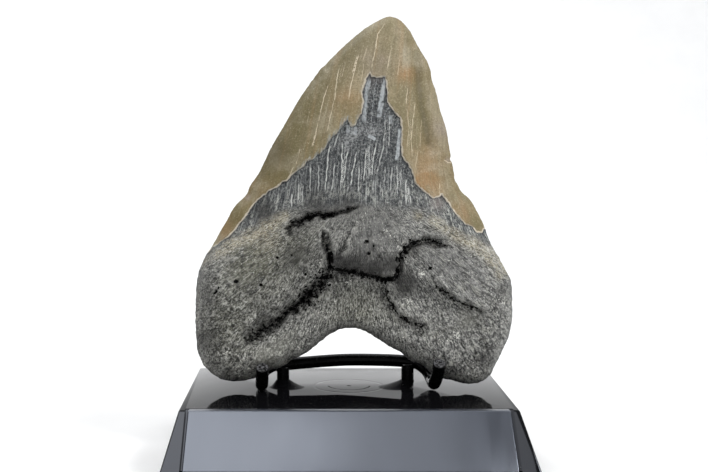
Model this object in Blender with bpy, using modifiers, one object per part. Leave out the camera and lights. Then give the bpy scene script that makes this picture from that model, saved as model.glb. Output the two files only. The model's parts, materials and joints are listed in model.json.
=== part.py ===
"""Fossil megalodon tooth resting on a black display stand.

Metres, +Z up. The origin is the middle of the stand's footprint. The tooth's domed side, with the
boss of its root, faces -Y, and +X is to the right as seen from there.
"""
import math

import bmesh
import bpy
import numpy as np
from mathutils import Vector, geometry, noise

MM = 0.001
GAP = 0.3 * MM  # between pieces that touch
CUTTER_REACH = 5 * MM  # how far a cutter passes the face that it opens
WELD = 0.01 * MM

# Base block
TOP_WIDTH = 108 * MM
TOP_DEPTH = 75 * MM
SLOPE_HEIGHT = 17.5 * MM
PLINTH_HEIGHT = 2.5 * MM
FRONT_SLANT = math.radians(42)  # every slant is measured from the vertical
SIDE_SLANT = math.radians(15.4)
BACK_SLANT = math.radians(15)
BASE_EDGE = 0.5 * MM
BASE_HEIGHT = SLOPE_HEIGHT + PLINTH_HEIGHT
FRONT_RUN = SLOPE_HEIGHT * math.tan(FRONT_SLANT)
SIDE_RUN = SLOPE_HEIGHT * math.tan(SIDE_SLANT)
BACK_RUN = SLOPE_HEIGHT * math.tan(BACK_SLANT)
FOOT_WIDTH = TOP_WIDTH + 2 * SIDE_RUN
FOOT_DEPTH = FRONT_RUN + TOP_DEPTH + BACK_RUN
TOP_FRONT = FRONT_RUN - FOOT_DEPTH / 2
TOP_BACK = FOOT_DEPTH / 2 - BACK_RUN

# Nameplate, let into the slanted front
PLATE_TOP_WIDTH = 102.2 * MM
PLATE_FOOT_WIDTH = 103.4 * MM
PLATE_DROP = 16 * MM
PLATE_THICKNESS = 1.8 * MM
PLATE_PROUD = 0.25 * MM
PLATE_SIDE_GAP = 0.8 * MM
PLATE_EDGE = 0.5 * MM

# Posts, their collars and the bent rod that cradles the root
ROD_RADIUS = 2.0 * MM
LEFT_POST = Vector((-21.8, 9.6)) * MM
RIGHT_POST = Vector((21.8, 9.6)) * MM
POST_SINK = 8 * MM
COLLAR_HEIGHT = 2.6 * MM
COLLAR_TOP_RADIUS = 2.7 * MM
COLLAR_ROOT = 1 * MM  # how deep it reaches into the base
COLLAR_STEPS = 7
COLLAR_HOLLOW = 2.2  # 1 is a plain cone, and more is hollower
LEFT_COLLAR = (6.5 * MM, 1.4 * MM)  # foot radius, and how far the foot leans to the right
RIGHT_COLLAR = (6.4 * MM, -3.0 * MM)
ROD_STEP = 2.2
ROD_ROUTE = [  # millimetres, heights above the base's top
    (-28.4, -7.6, 9.1), (-28.5, -5.6, 6.7), (-28.7, -3.6, 4.3), (-28.8, -0.6, 2.7), (-28.9, 3.0, 2.35),
    (-29.1, 6.6, 2.7), (-28.6, 10.0, 4.7), (-25.4, 11.2, 6.6), (-21.8, 10.6, 7.1), (-14, 12.4, 7.5),
    (0, 15.0, 7.9), (14, 12.8, 8.3), (21.8, 10.6, 8.2), (25.4, 10.5, 7.3), (28.3, 9.0, 4.9),
    (29.7, 5.4, 2.9), (30.0, 2.0, 2.4), (30.2, -0.8, 2.8), (30.6, -3.6, 5.2), (31.0, -5.6, 8.0),
    (31.2, -7.6, 10.5)]

# Tooth. Its outline and marks are pixels of the photograph's 708 by 472 frame, and its real width
# sets their scale.
TOOTH_WIDTH = 109.0
TOOTH_FOOT = Vector((2.7, 3.7, 1.8)) * MM  # middle of its lowest edge, above the base's top
TOOTH_LEAN = math.radians(4)
OUTLINE = [
    (389, 17), (380, 20), (360, 32.5), (340, 50), (320, 70), (310, 83.5), (300, 98), (285, 124),
    (271, 148), (260, 171), (246, 195), (233, 209), (221, 230), (210, 249), (203, 262), (197.5, 278),
    (196, 305), (196, 330), (198.5, 352), (206, 367.5), (217, 376.5), (235, 381), (256, 377.5),
    (270, 370), (286, 364), (300, 356), (320, 341.5), (335, 331), (350, 328), (365, 331.5),
    (380, 340.5), (400, 352), (420, 364), (437, 376.5), (455, 381), (470, 383.5), (480, 381.5),
    (491, 371), (500, 353), (508, 334.5), (511, 315), (511, 300), (509.5, 280), (500, 261), (490, 243),
    (480, 218), (470, 200), (460, 190.5), (453.5, 172), (449, 148), (443.5, 121), (435, 90),
    (430.5, 72), (420, 50.5), (410, 32), (400, 20.5)]
ENAMEL_EDGE = [
    (209, 250), (222, 241), (240, 223), (250, 209.5), (265, 195), (288, 181), (307, 163), (320, 155),
    (331, 139), (346, 120), (354, 127), (362, 104), (363, 86), (369, 75.5), (384, 79), (387, 100),
    (399, 121), (400, 158), (412, 178), (430, 199), (441, 196), (457, 218), (470, 228), (484, 228)]
NECK_LINE = [(190, 272), (240, 240), (300, 212), (345, 200), (400, 200), (430, 212), (470, 236), (516, 272)]
UPPER_CRACK = [(287, 232), (300, 222), (310, 217), (330, 216), (345, 211), (358, 210)]
NOTCH = [(327, 237), (328, 262)]
BOSS_LEDGE = [
    (329, 262), (335, 268), (352, 271), (375, 277), (390, 278), (395, 272), (396, 262), (400, 250),
    (410, 243), (425, 239), (447, 246)]
LOBE_GROOVE = [(328, 268), (325, 275), (310, 292), (295, 305), (280, 317), (265, 328), (250, 336), (240, 336)]
RIGHT_STEP = [(427, 283), (440, 290), (450, 299), (462, 304), (478, 309)]
LOWER_STEP = [(385, 297), (390, 305), (400, 315), (415, 322), (427, 326)]
BOSS = (360, 240)
LEFT_BULGE = [(222, 292), (262, 285), (305, 256)]
RIGHT_BULGE = [(425, 262), (455, 275), (480, 292)]

# Millimetres. Depths are measured from the tooth's middle plane, to its front or its back.
CROWN_FRONT = 13.5
CROWN_BACK = 7.0
CROWN_FULL = 51.0  # the half width at which the crown has those depths
CROWN_HALF_WIDTHS = [  # height above the lobes' lowest point, half the crown's width there
    (30, 54), (46, 51), (55, 45), (66, 38), (82, 31), (99, 24), (109, 18), (117, 13), (122, 9), (127, 4)]
NECK_HEIGHT = 14.0  # over which the crown's section turns into the root's
ROOT_FRONT = 9.6
ROOT_BACK = 8.6
ROOT_FRONT_EDGE = 10.5
ROOT_BACK_EDGE = 13.0
ENAMEL_STEP = 0.8
RIM_SPACING = 2.3
FRONT_SPACING = 2.7
BACK_SPACING = 3.6
RIM_INSETS = (0.6, 2.1, 4.2)
FAR = 160.0  # well past the tooth on every side


def clear_scene():
    for thing in list(bpy.data.objects):
        bpy.data.objects.remove(thing, do_unlink=True)


def new_collection(name):
    collection = bpy.data.collections.new(name)
    bpy.context.scene.collection.children.link(collection)
    return collection


def material(name, colour, roughness, metallic=0.0):
    result = bpy.data.materials.new(name)
    result.use_nodes = True
    shader = result.node_tree.nodes["Principled BSDF"]
    shader.inputs["Base Color"].default_value = (*colour, 1)
    shader.inputs["Roughness"].default_value = roughness
    shader.inputs["Metallic"].default_value = metallic
    return result


def fossil_material():
    return material("fossil", (0.14, 0.13, 0.11), 0.6)


def gloss_black():
    return material("gloss_black_plastic", (0.012, 0.012, 0.014), 0.12)


def plate_black():
    return material("satin_plate", (0.03, 0.032, 0.037), 0.25)


def rod_black():
    return material("black_painted_steel", (0.01, 0.01, 0.01), 0.35, 0.3)


def add_object(name, mesh, collection, finish=None):
    thing = bpy.data.objects.new(name, mesh)
    collection.objects.link(thing)
    if finish:
        mesh.materials.append(finish)
    return thing


def hide_helper(thing):
    thing.hide_render = True
    thing.display_type = "WIRE"


def bevel(thing, width, segments=2):
    modifier = thing.modifiers.new("rounded_edges", "BEVEL")
    modifier.width = width
    modifier.segments = segments
    modifier.limit_method = "ANGLE"


def boolean(thing, other, operation):
    modifier = thing.modifiers.new(other.name, "BOOLEAN")
    modifier.operation = operation
    modifier.object = other


def tapered_block(name, foot, top, low, high):
    """A box whose foot and top are (x half width, front y, back y) at the heights low and high."""
    mesh = bpy.data.meshes.new(name)
    body = bmesh.new()
    bmesh.ops.create_cube(body, size=2)
    for vertex in body.verts:
        half, front, back = top if vertex.co.z > 0 else foot
        height = high if vertex.co.z > 0 else low
        vertex.co = (vertex.co.x * half, back if vertex.co.y > 0 else front, height)
    body.to_mesh(mesh)
    body.free()
    return mesh


def catmull_rom(points, closed, steps=12):
    """Points on a smooth curve through the given points."""
    points = np.array(points, float)
    if closed:
        padded = np.vstack([points[-1:], points, points[:2]])
    else:
        padded = np.vstack([2 * points[0] - points[1], points, 2 * points[-1] - points[-2]])
    curve = []
    for a, b, c, d in zip(padded, padded[1:], padded[2:], padded[3:]):
        for t in np.linspace(0, 1, steps, endpoint=False):
            curve.append(b + 0.5 * t * (c - a + t * (2 * a - 5 * b + 4 * c - d + t * (3 * (b - c) + d - a))))
    if not closed:
        curve.append(points[-1])
    return np.array(curve)


def resample(curve, spacing, closed=False):
    """Even steps of about the given length along a curve."""
    if closed:
        curve = np.vstack([curve, curve[:1]])
    lengths = np.linalg.norm(np.diff(curve, axis=0), axis=1)
    along = np.concatenate([[0], np.cumsum(lengths)])
    count = max(int(round(along[-1] / spacing)), 2)
    places = np.linspace(0, along[-1], count + 1)
    even = np.column_stack([np.interp(places, along, curve[:, axis]) for axis in range(curve.shape[1])])
    return even[:-1] if closed else even


# Stand


def base_block(finish, parts):
    low = (FOOT_WIDTH / 2, -FOOT_DEPTH / 2, FOOT_DEPTH / 2)
    high = (TOP_WIDTH / 2, TOP_FRONT, TOP_BACK)
    mesh = tapered_block("base", low, high, PLINTH_HEIGHT, BASE_HEIGHT)
    body = bmesh.new()
    body.from_mesh(mesh)
    underside = min(body.faces, key=lambda face: face.calc_center_median().z)
    plinth = bmesh.ops.extrude_face_region(body, geom=[underside])["geom"]
    moved = [item for item in plinth if isinstance(item, bmesh.types.BMVert)]
    bmesh.ops.translate(body, verts=moved, vec=(0, 0, -PLINTH_HEIGHT))
    bmesh.ops.delete(body, geom=[underside], context="FACES_ONLY")
    bmesh.ops.recalc_face_normals(body, faces=body.faces)
    body.to_mesh(mesh)
    body.free()
    block = add_object("base", mesh, parts, finish)
    bevel(block, BASE_EDGE)
    return block


def front_run(drop):
    """How far the slanted front has come forward at a depth below the top."""
    return drop * math.tan(FRONT_SLANT)


def plate_recess(helpers):
    """Cutter for the nameplate's bed, open through the top's front edge."""
    above = CUTTER_REACH
    drop = PLATE_DROP + GAP
    bed = TOP_FRONT + (PLATE_THICKNESS + GAP) / math.cos(FRONT_SLANT)
    outside = TOP_FRONT - CUTTER_REACH
    high = (PLATE_TOP_WIDTH / 2 + PLATE_SIDE_GAP, outside + front_run(above), bed + front_run(above))
    low = (PLATE_FOOT_WIDTH / 2 + PLATE_SIDE_GAP, outside - front_run(drop), bed - front_run(drop))
    mesh = tapered_block("plate_recess", low, high, BASE_HEIGHT - drop, BASE_HEIGHT + above)
    cutter = add_object("plate_recess", mesh, helpers)
    hide_helper(cutter)
    return cutter


def nameplate(finish, parts):
    face = TOP_FRONT - PLATE_PROUD / math.cos(FRONT_SLANT)
    back = TOP_FRONT + PLATE_THICKNESS / math.cos(FRONT_SLANT)
    high = (PLATE_TOP_WIDTH / 2, face, back)
    low = (PLATE_FOOT_WIDTH / 2, face - front_run(PLATE_DROP), back - front_run(PLATE_DROP))
    mesh = tapered_block("nameplate", low, high, BASE_HEIGHT - PLATE_DROP, BASE_HEIGHT)
    plate = add_object("nameplate", mesh, parts, finish)
    bevel(plate, PLATE_EDGE)
    return plate


def collar(name, post, foot_radius, lean, helpers):
    """A hollow-sided swelling round a post's foot, whose wide foot is shifted sideways by lean."""
    profile = [(0, COLLAR_HEIGHT), (COLLAR_TOP_RADIUS, COLLAR_HEIGHT)]
    for step in range(1, COLLAR_STEPS + 1):
        share = step / COLLAR_STEPS
        radius = COLLAR_TOP_RADIUS + (foot_radius - COLLAR_TOP_RADIUS) * share
        profile.append((radius, COLLAR_HEIGHT * (1 - share) ** COLLAR_HOLLOW))
    profile += [(foot_radius, -COLLAR_ROOT), (0, -COLLAR_ROOT)]
    mesh = bpy.data.meshes.new(name)
    edges = [(index, index + 1) for index in range(len(profile) - 1)]
    mesh.from_pydata([(x, 0, z) for x, z in profile], edges, [])
    turned = add_object(name + "_profile", mesh, helpers)
    screw = turned.modifiers.new("turn", "SCREW")
    screw.steps = 28
    screw.render_steps = 28
    screw.use_merge_vertices = True
    screw.merge_threshold = WELD
    bpy.context.view_layer.update()
    evaluated = turned.evaluated_get(bpy.context.evaluated_depsgraph_get())
    solid = bpy.data.meshes.new_from_object(evaluated)
    bpy.data.objects.remove(turned)
    for vertex in solid.vertices:
        foot_share = min(max(1 - vertex.co.z / COLLAR_HEIGHT, 0), 1)
        vertex.co.x += lean * foot_share
    swelling = add_object(name, solid, helpers)
    swelling.location = (post.x, post.y, BASE_HEIGHT)
    hide_helper(swelling)
    return swelling


def cylinder(name, radius, low, high, place, collection):
    bpy.ops.mesh.primitive_cylinder_add(vertices=24, radius=radius, depth=high - low)
    thing = bpy.context.object
    thing.name = name
    thing.data.name = name
    thing.location = (place.x, place.y, (low + high) / 2)
    for owner in list(thing.users_collection):
        owner.objects.unlink(thing)
    collection.objects.link(thing)
    return thing


def rod_route():
    route = resample(catmull_rom(ROD_ROUTE, closed=False), ROD_STEP) * MM
    return [Vector(point) + Vector((0, 0, BASE_HEIGHT)) for point in route]


def tube(name, points, radius, sides_level, collection):
    """A round rod along the points, as a closed mesh."""
    curve = bpy.data.curves.new(name, "CURVE")
    curve.dimensions = "3D"
    curve.bevel_depth = radius
    curve.bevel_resolution = sides_level
    curve.use_fill_caps = True
    spline = curve.splines.new("POLY")
    spline.points.add(len(points) - 1)
    for target, point in zip(spline.points, points):
        target.co = (*point, 1)
    thing = bpy.data.objects.new(name + "_curve", curve)
    collection.objects.link(thing)
    bpy.context.view_layer.update()
    evaluated = thing.evaluated_get(bpy.context.evaluated_depsgraph_get())
    mesh = bpy.data.meshes.new_from_object(evaluated)
    body = bmesh.new()
    body.from_mesh(mesh)
    bmesh.ops.remove_doubles(body, verts=body.verts, dist=WELD)
    body.to_mesh(mesh)
    body.free()
    result = bpy.data.objects.new(name, mesh)
    collection.objects.link(result)
    result.matrix_world = thing.matrix_world
    bpy.data.objects.remove(thing)
    return result


def rod_height(place):
    """Height of the rod's middle where it passes over a post."""
    nearest = min(rod_route()[8:-8], key=lambda point: (point.xy - place).length)
    return nearest.z


def post(name, place, saddle, finish, parts):
    """A straight post from its blind hole up to the rod, hollowed at the top to fit round it."""
    thing = cylinder(name, ROD_RADIUS, BASE_HEIGHT - POST_SINK + GAP, rod_height(place), place, parts)
    thing.data.materials.append(finish)
    boolean(thing, saddle, "DIFFERENCE")
    return thing


def post_hole(name, place, helpers):
    top = BASE_HEIGHT + COLLAR_HEIGHT + CUTTER_REACH
    hole = cylinder(name, ROD_RADIUS + GAP, BASE_HEIGHT - POST_SINK, top, place, helpers)
    hide_helper(hole)
    return hole


def build_stand(parts, helpers):
    block = base_block(gloss_black(), parts)
    boolean(block, plate_recess(helpers), "DIFFERENCE")
    boolean(block, collar("left_collar", LEFT_POST, *LEFT_COLLAR, helpers), "UNION")
    boolean(block, collar("right_collar", RIGHT_POST, *RIGHT_COLLAR, helpers), "UNION")
    boolean(block, post_hole("left_post_hole", LEFT_POST, helpers), "DIFFERENCE")
    boolean(block, post_hole("right_post_hole", RIGHT_POST, helpers), "DIFFERENCE")
    nameplate(plate_black(), parts)
    steel = rod_black()
    rod = tube("cradle_rod", rod_route(), ROD_RADIUS, 4, parts)
    rod.data.materials.append(steel)
    saddle = tube("rod_saddle", rod_route(), ROD_RADIUS + GAP, 4, helpers)
    hide_helper(saddle)
    left = post("left_post", LEFT_POST, saddle, steel, parts)
    right = post("right_post", RIGHT_POST, saddle, steel, parts)
    for thing in (rod, left, right):
        thing.data.shade_smooth()
        thing.data.set_sharp_from_angle(angle=math.radians(50))


# Tooth


def to_plane(pixels):
    """Photograph points to millimetres on the tooth's plane, u to the right and v up."""
    points = np.array(pixels, float)
    columns = [column for column, row in OUTLINE]
    scale = TOOTH_WIDTH / (max(columns) - min(columns))
    middle = (max(columns) + min(columns)) / 2
    lowest = max(row for column, row in OUTLINE)
    return np.column_stack([(points[:, 0] - middle) * scale, (lowest - points[:, 1]) * scale])


def smooth(share):
    share = np.clip(share, 0, 1)
    return share * share * (3 - 2 * share)


def line_field(points, line):
    """Distance from a polyline, the side (+1 left of its run) and the share of its length passed."""
    starts = line[:-1]
    runs = line[1:] - starts
    squares = (runs ** 2).sum(axis=1)
    offsets = points[:, None, :] - starts[None]
    shares = np.clip((offsets * runs[None]).sum(axis=2) / squares, 0, 1)
    gaps = offsets - shares[..., None] * runs[None]
    distances = np.hypot(gaps[..., 0], gaps[..., 1])
    nearest = distances.argmin(axis=1)
    rows = np.arange(len(points))
    cross = runs[nearest, 0] * offsets[rows, nearest, 1] - runs[nearest, 1] * offsets[rows, nearest, 0]
    passed = np.concatenate([[0], np.cumsum(np.sqrt(squares))])
    along = passed[nearest] + shares[rows, nearest] * np.sqrt(squares[nearest])
    return distances[rows, nearest], np.sign(cross), along / passed[-1]


def inside(points, polygon):
    """True for the points that a closed polygon holds."""
    ends = np.roll(polygon, -1, axis=0)
    u, v = points[:, :1], points[:, 1:]
    crosses = (polygon[:, 1] > v) != (ends[:, 1] > v)
    rise = np.where(ends[:, 1] == polygon[:, 1], 1, ends[:, 1] - polygon[:, 1])
    at = (ends[:, 0] - polygon[:, 0]) * (v - polygon[:, 1]) / rise + polygon[:, 0]
    return (crosses & (u < at)).sum(axis=1) % 2 == 1


def edge_distance(points, rim):
    return line_field(points, np.vstack([rim, rim[:1]]))[0]


def crown_half_width(v):
    """Half the crown's width at a height above the lobes' lowest point."""
    return np.interp(v, *np.array(CROWN_HALF_WIDTHS, float).T)


def fade_ends(along, length=0.12):
    """1 along a line, easing to 0 over a share of its length at both ends."""
    return smooth(along / length) * smooth((1 - along) / length)


def groove(points, pixels, width, depth):
    """A furrow along a line, fading at both ends."""
    distance, _, along = line_field(points, to_plane(pixels))
    return -depth * np.exp(-(distance / width) ** 2) * fade_ends(along)


def ledge(points, pixels, rise, drop, reach, crease):
    """A lip along a line: raised on its left, lowered on its right, with a furrow between."""
    distance, side, along = line_field(points, to_plane(pixels))
    fall = np.exp(-distance / reach)
    lip = np.where(side > 0, rise, -drop) * fall * smooth(distance / 0.8)
    return (lip - crease * np.exp(-(distance / 0.9) ** 2)) * fade_ends(along, 0.1)


def swelling(points, pixels, height, reach):
    distance = line_field(points, to_plane(pixels))[0]
    return height * np.exp(-(distance / reach) ** 2)


def dome(points, pixel, height, reach):
    distance = np.hypot(*(points - to_plane([pixel])).T)
    return height * np.exp(-(distance / reach) ** 2)


def root_share(points):
    """0 on the crown, 1 on the root, easing over the neck."""
    neck = to_plane(NECK_LINE)
    return smooth(0.5 + (np.interp(points[:, 0], neck[:, 0], neck[:, 1]) - points[:, 1]) / NECK_HEIGHT)


def enamel_share(points):
    """1 on the enamel, 0 on the bare dentine and the root."""
    edge = to_plane(ENAMEL_EDGE)
    around = [(FAR, edge[-1, 1]), (FAR, FAR), (-FAR, FAR), (-FAR, edge[0, 1])]
    region = np.vstack([edge, around])
    distance = line_field(points, edge)[0]
    return smooth(0.5 + np.where(inside(points, region), distance, -distance) / 0.8)


def front_depth(points, rim):
    """How far the domed face stands in front of the tooth's middle plane."""
    distance = edge_distance(points, rim)
    half = crown_half_width(points[:, 1])
    across = np.clip(distance / (0.86 * half), 0, 1)
    crown = CROWN_FRONT * (half / CROWN_FULL) ** 0.8 * (1 - (1 - across) ** 2) ** 0.9
    edge = 1 - np.clip(distance / ROOT_FRONT_EDGE, 0, 1)
    root = ROOT_FRONT * np.sqrt(1 - edge ** 2)
    share = root_share(points)
    relief = swelling(points, LEFT_BULGE, 3.0, 11) + swelling(points, RIGHT_BULGE, 3.0, 11)
    relief += dome(points, BOSS, 5.5, 15)
    relief += ledge(points, BOSS_LEDGE, 1.6, 3.0, 7, 1.2)
    relief += groove(points, LOBE_GROOVE, 2.2, 3.0)
    relief += groove(points, UPPER_CRACK, 1.1, 1.8)
    relief += groove(points, NOTCH, 1.2, 2.6)
    relief += ledge(points, RIGHT_STEP, 0.5, 0.7, 4, 0.5)
    relief += ledge(points, LOWER_STEP, 0.6, 0.5, 4, 0.5)
    relief += lumps(points, 7.0, 0.5, 3.0) * share
    margin = smooth(distance / 7)
    enamel = ENAMEL_STEP * enamel_share(points) * smooth(distance / 3)
    return crown * (1 - share) + root * share + relief * margin + enamel


def back_depth(points, rim):
    """How far the flat face stands behind the tooth's middle plane."""
    distance = edge_distance(points, rim)
    half = crown_half_width(points[:, 1])
    across = np.clip(distance / (0.86 * half), 0, 1)
    crown = CROWN_BACK * (half / CROWN_FULL) ** 1.3 * (1 - (1 - across) ** 2)
    edge = 1 - np.clip(distance / ROOT_BACK_EDGE, 0, 1)
    root = ROOT_BACK * np.sqrt(1 - edge ** 2)
    share = root_share(points)
    relief = lumps(points, 11.0, 0.7, 8.0) * share - dome(points, BOSS, 1.8, 20)
    return crown * (1 - share) + root * share + relief * smooth(distance / 7)


def lumps(points, size, height, seed):
    """Gentle uneven relief with lumps about size millimetres across."""
    return np.array([height * noise.noise(Vector((u / size, v / size, seed))) for u, v in points])


def inset_ring(rim, inset):
    """The rim moved inward, which runs down the left side, so inward is to the left."""
    tangent = np.roll(rim, -1, axis=0) - np.roll(rim, 1, axis=0)
    tangent /= np.linalg.norm(tangent, axis=1)[:, None]
    return rim + inset * np.column_stack([-tangent[:, 1], tangent[:, 0]])


def hexagonal_grid(low, high, spacing):
    rows = np.arange(low[1], high[1], spacing * math.sqrt(3) / 2)
    points = []
    for index, v in enumerate(rows):
        shift = spacing / 2 if index % 2 else 0
        points += [(u, v) for u in np.arange(low[0] + shift, high[0], spacing)]
    return np.array(points)


def beside_line(pixels, spacing, offset):
    """Rows of points on both sides of a line, or on it when the offset is 0."""
    line = resample(to_plane(pixels), spacing)
    if not offset:
        return line
    tangent = np.gradient(line, axis=0)
    tangent /= np.linalg.norm(tangent, axis=1)[:, None]
    normal = np.column_stack([-tangent[:, 1], tangent[:, 0]])
    return np.vstack([line + offset * normal, line - offset * normal])


def feature_points():
    """Extra points that keep the furrows, the lips and the enamel's edge crisp."""
    rows = [beside_line(ENAMEL_EDGE, 3.0, 0.5)]
    for line in (BOSS_LEDGE, LOBE_GROOVE, UPPER_CRACK, NOTCH):
        rows += [beside_line(line, 2.4, 0), beside_line(line, 2.4, 1.3)]
    for line in (RIGHT_STEP, LOWER_STEP):
        rows.append(beside_line(line, 2.6, 0.6))
    return thin_out(np.vstack(rows), 0.8)


def thin_out(points, spacing):
    """Drop each point that lies closer than the spacing to one already kept."""
    kept = []
    for point in points:
        if all(np.hypot(*(point - other)) >= spacing for other in kept):
            kept.append(point)
    return np.array(kept)


def away_from(points, others, spacing):
    gaps = np.hypot(*(points[:, None, :] - others[None]).transpose(2, 0, 1))
    return points[gaps.min(axis=1) >= spacing]


def sheet_points(rim, spacing, features):
    """The points inside the rim that one face of the tooth is built on."""
    rings = []
    for inset in RIM_INSETS:
        ring = inset_ring(rim, inset)
        held = inside(ring, rim) & (edge_distance(ring, rim) > 0.9 * inset)
        rings.append(ring[held])
    rings = np.vstack(rings)
    if len(features):
        features = features[inside(features, rim) & (edge_distance(features, rim) > RIM_INSETS[0])]
        rings = away_from(rings, features, 0.9)
        rings = np.vstack([rings, features])
    grid = hexagonal_grid(rim.min(axis=0), rim.max(axis=0), spacing)
    grid = grid[inside(grid, rim)]
    grid = grid[edge_distance(grid, rim) > RIM_INSETS[-1] + 0.5 * spacing]
    return np.vstack([rings, away_from(grid, rings, 0.62 * spacing)])


def triangulate(rim, points):
    """Triangles of the rim's polygon over the rim's points followed by the inner points."""
    everything = [Vector(point) for point in np.vstack([rim, points])]
    edges = [(index, (index + 1) % len(rim)) for index in range(len(rim))]
    result = geometry.delaunay_2d_cdt(everything, edges, [], 1, 1e-6)
    origin = [sources[0] for sources in result[3]]
    return [tuple(origin[corner] for corner in triangle) for triangle in result[2]]


def build_tooth(finish, parts):
    rim = resample(catmull_rom(to_plane(OUTLINE), closed=True), RIM_SPACING, closed=True)
    front = sheet_points(rim, FRONT_SPACING, feature_points())
    back = sheet_points(rim, BACK_SPACING, np.empty((0, 2)))
    vertices = [(u, 0, v) for u, v in rim]
    vertices += [(u, -depth, v) for (u, v), depth in zip(front, front_depth(front, rim))]
    vertices += [(u, depth, v) for (u, v), depth in zip(back, back_depth(back, rim))]
    faces = triangulate(rim, front)
    turned = [tuple(reversed(triangle)) for triangle in triangulate(rim, back)]
    shift = len(front)
    for triangle in turned:
        faces.append(tuple(corner if corner < len(rim) else corner + shift for corner in triangle))
    mesh = bpy.data.meshes.new("tooth")
    mesh.from_pydata([Vector(vertex) * MM for vertex in vertices], [], faces)
    tooth = add_object("tooth", mesh, parts, finish)
    tooth.location = TOOTH_FOOT + Vector((0, 0, BASE_HEIGHT))
    tooth.rotation_euler.x = -TOOTH_LEAN
    mesh.shade_smooth()
    mesh.set_sharp_from_angle(angle=math.radians(50))
    return tooth


def main():
    clear_scene()
    parts = new_collection("fossil_tooth_on_stand")
    helpers = new_collection("cutters")
    build_stand(parts, helpers)
    build_tooth(fossil_material(), parts)


main()
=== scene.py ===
"""Looks of the fossil megalodon tooth on its stand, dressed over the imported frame."""

import json
import math

import bmesh
import bpy
import numpy as np
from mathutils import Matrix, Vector, geometry, kdtree, noise

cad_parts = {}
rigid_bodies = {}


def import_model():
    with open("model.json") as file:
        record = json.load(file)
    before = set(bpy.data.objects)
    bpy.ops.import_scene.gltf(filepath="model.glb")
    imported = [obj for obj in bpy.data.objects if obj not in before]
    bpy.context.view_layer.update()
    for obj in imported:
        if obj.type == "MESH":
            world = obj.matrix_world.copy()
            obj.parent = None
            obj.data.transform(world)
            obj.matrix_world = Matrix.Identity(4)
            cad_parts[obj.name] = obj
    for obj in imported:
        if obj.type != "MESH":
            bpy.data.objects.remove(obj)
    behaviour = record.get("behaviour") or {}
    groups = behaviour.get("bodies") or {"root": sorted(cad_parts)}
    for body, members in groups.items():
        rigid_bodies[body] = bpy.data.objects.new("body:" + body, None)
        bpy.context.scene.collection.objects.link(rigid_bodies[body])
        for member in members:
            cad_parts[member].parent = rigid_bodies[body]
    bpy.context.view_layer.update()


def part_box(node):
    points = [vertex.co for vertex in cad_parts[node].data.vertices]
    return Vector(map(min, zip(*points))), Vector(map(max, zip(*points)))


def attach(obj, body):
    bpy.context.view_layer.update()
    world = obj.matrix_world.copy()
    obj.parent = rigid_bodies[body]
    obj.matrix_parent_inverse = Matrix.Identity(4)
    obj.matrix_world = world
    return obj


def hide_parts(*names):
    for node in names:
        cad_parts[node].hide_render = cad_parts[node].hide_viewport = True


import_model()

MM = 0.001

# Camera, fitted to the corners of the base's top in the 708 by 472 photograph
PHOTO_WIDTH = 708
FOCAL_PIXELS = 1206.0
CENTRE_COLUMN = 307.9
CAMERA_PLACE = Vector((-13.1, -408.7, 101.8)) * MM
CAMERA_PITCH = math.radians(4.02)

# Stand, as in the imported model
BASE_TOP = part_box("nameplate")[1].z
TOP_WIDTH = 108 * MM
PLINTH_HEIGHT = 2.5 * MM
SLOPE_HEIGHT = BASE_TOP - PLINTH_HEIGHT
FRONT_SLANT = math.radians(42)
FOOT_LOW, FOOT_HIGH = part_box("base")
BACK_RUN = SLOPE_HEIGHT * math.tan(math.radians(15))
FRONT_RUN = SLOPE_HEIGHT * math.tan(FRONT_SLANT)
TOP_FRONT = FOOT_LOW.y + FRONT_RUN
TOP_BACK = FOOT_HIGH.y - BACK_RUN
BASE_EDGE = 0.5 * MM
PLATE_TOP_WIDTH = 102.2 * MM
PLATE_FOOT_WIDTH = 103.4 * MM
PLATE_DROP = 16 * MM
PLATE_THICKNESS = 1.8 * MM
PLATE_PROUD = 0.25 * MM
PLATE_SIDE_GAP = 0.8 * MM
PLATE_EDGE = 0.45 * MM
GAP = 0.3 * MM
CUTTER_REACH = 5 * MM
ROD_RADIUS = 2.0 * MM
PAINT = 0.17 * MM
SINK_CENTRE = (1.2 * MM, 8.0 * MM, BASE_TOP)
LEFT_POST = Vector((-21.8, 9.6)) * MM
RIGHT_POST = Vector((21.8, 9.6)) * MM
POSTS = [("left_upright", "left_post", LEFT_POST), ("right_upright", "right_post", RIGHT_POST)]
POST_SINK = 8 * MM
POST_SHORT = 0.6 * MM
ROUTE_ENDS = 40  # points of the rod's route that belong to the hooks
SHARP_ANGLE = math.radians(35)
COLLAR_HEIGHT = 2.1 * MM
COLLAR_FORWARD = 3.4 * MM
COLLAR_HOLLOW = 1.7  # 1 is a plain cone, and more is hollower
COLLAR_SLIDE = 1.5  # how late, going down, its leaning comes in
COLLAR_STEPS = 12
LEFT_COLLAR = (6.5 * MM, 1.4 * MM)  # foot radius, and how far the foot leans to the right
RIGHT_COLLAR = (6.4 * MM, -4.4 * MM)
ROD_ROUTE = [  # millimetres, heights above the base's top
    (-28.4, -9.0, 9.7), (-28.5, -7.0, 7.0), (-28.6, -5.0, 4.4), (-28.8, -2.4, 2.6), (-28.9, 1.0, 2.3),
    (-29.1, 6.0, 2.6), (-28.6, 10.0, 4.7), (-25.4, 11.2, 6.6), (-21.8, 10.6, 7.1), (-14, 12.4, 7.5),
    (0, 15.0, 8.0), (14, 12.8, 8.3), (21.8, 10.6, 8.2), (25.6, 10.5, 7.4), (28.6, 9.0, 5.2),
    (29.8, 5.4, 3.0), (30.0, 2.0, 2.4), (30.2, -0.8, 2.8), (30.6, -3.6, 5.2), (31.0, -5.6, 8.0),
    (31.1, -7.9, 10.9)]

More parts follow.
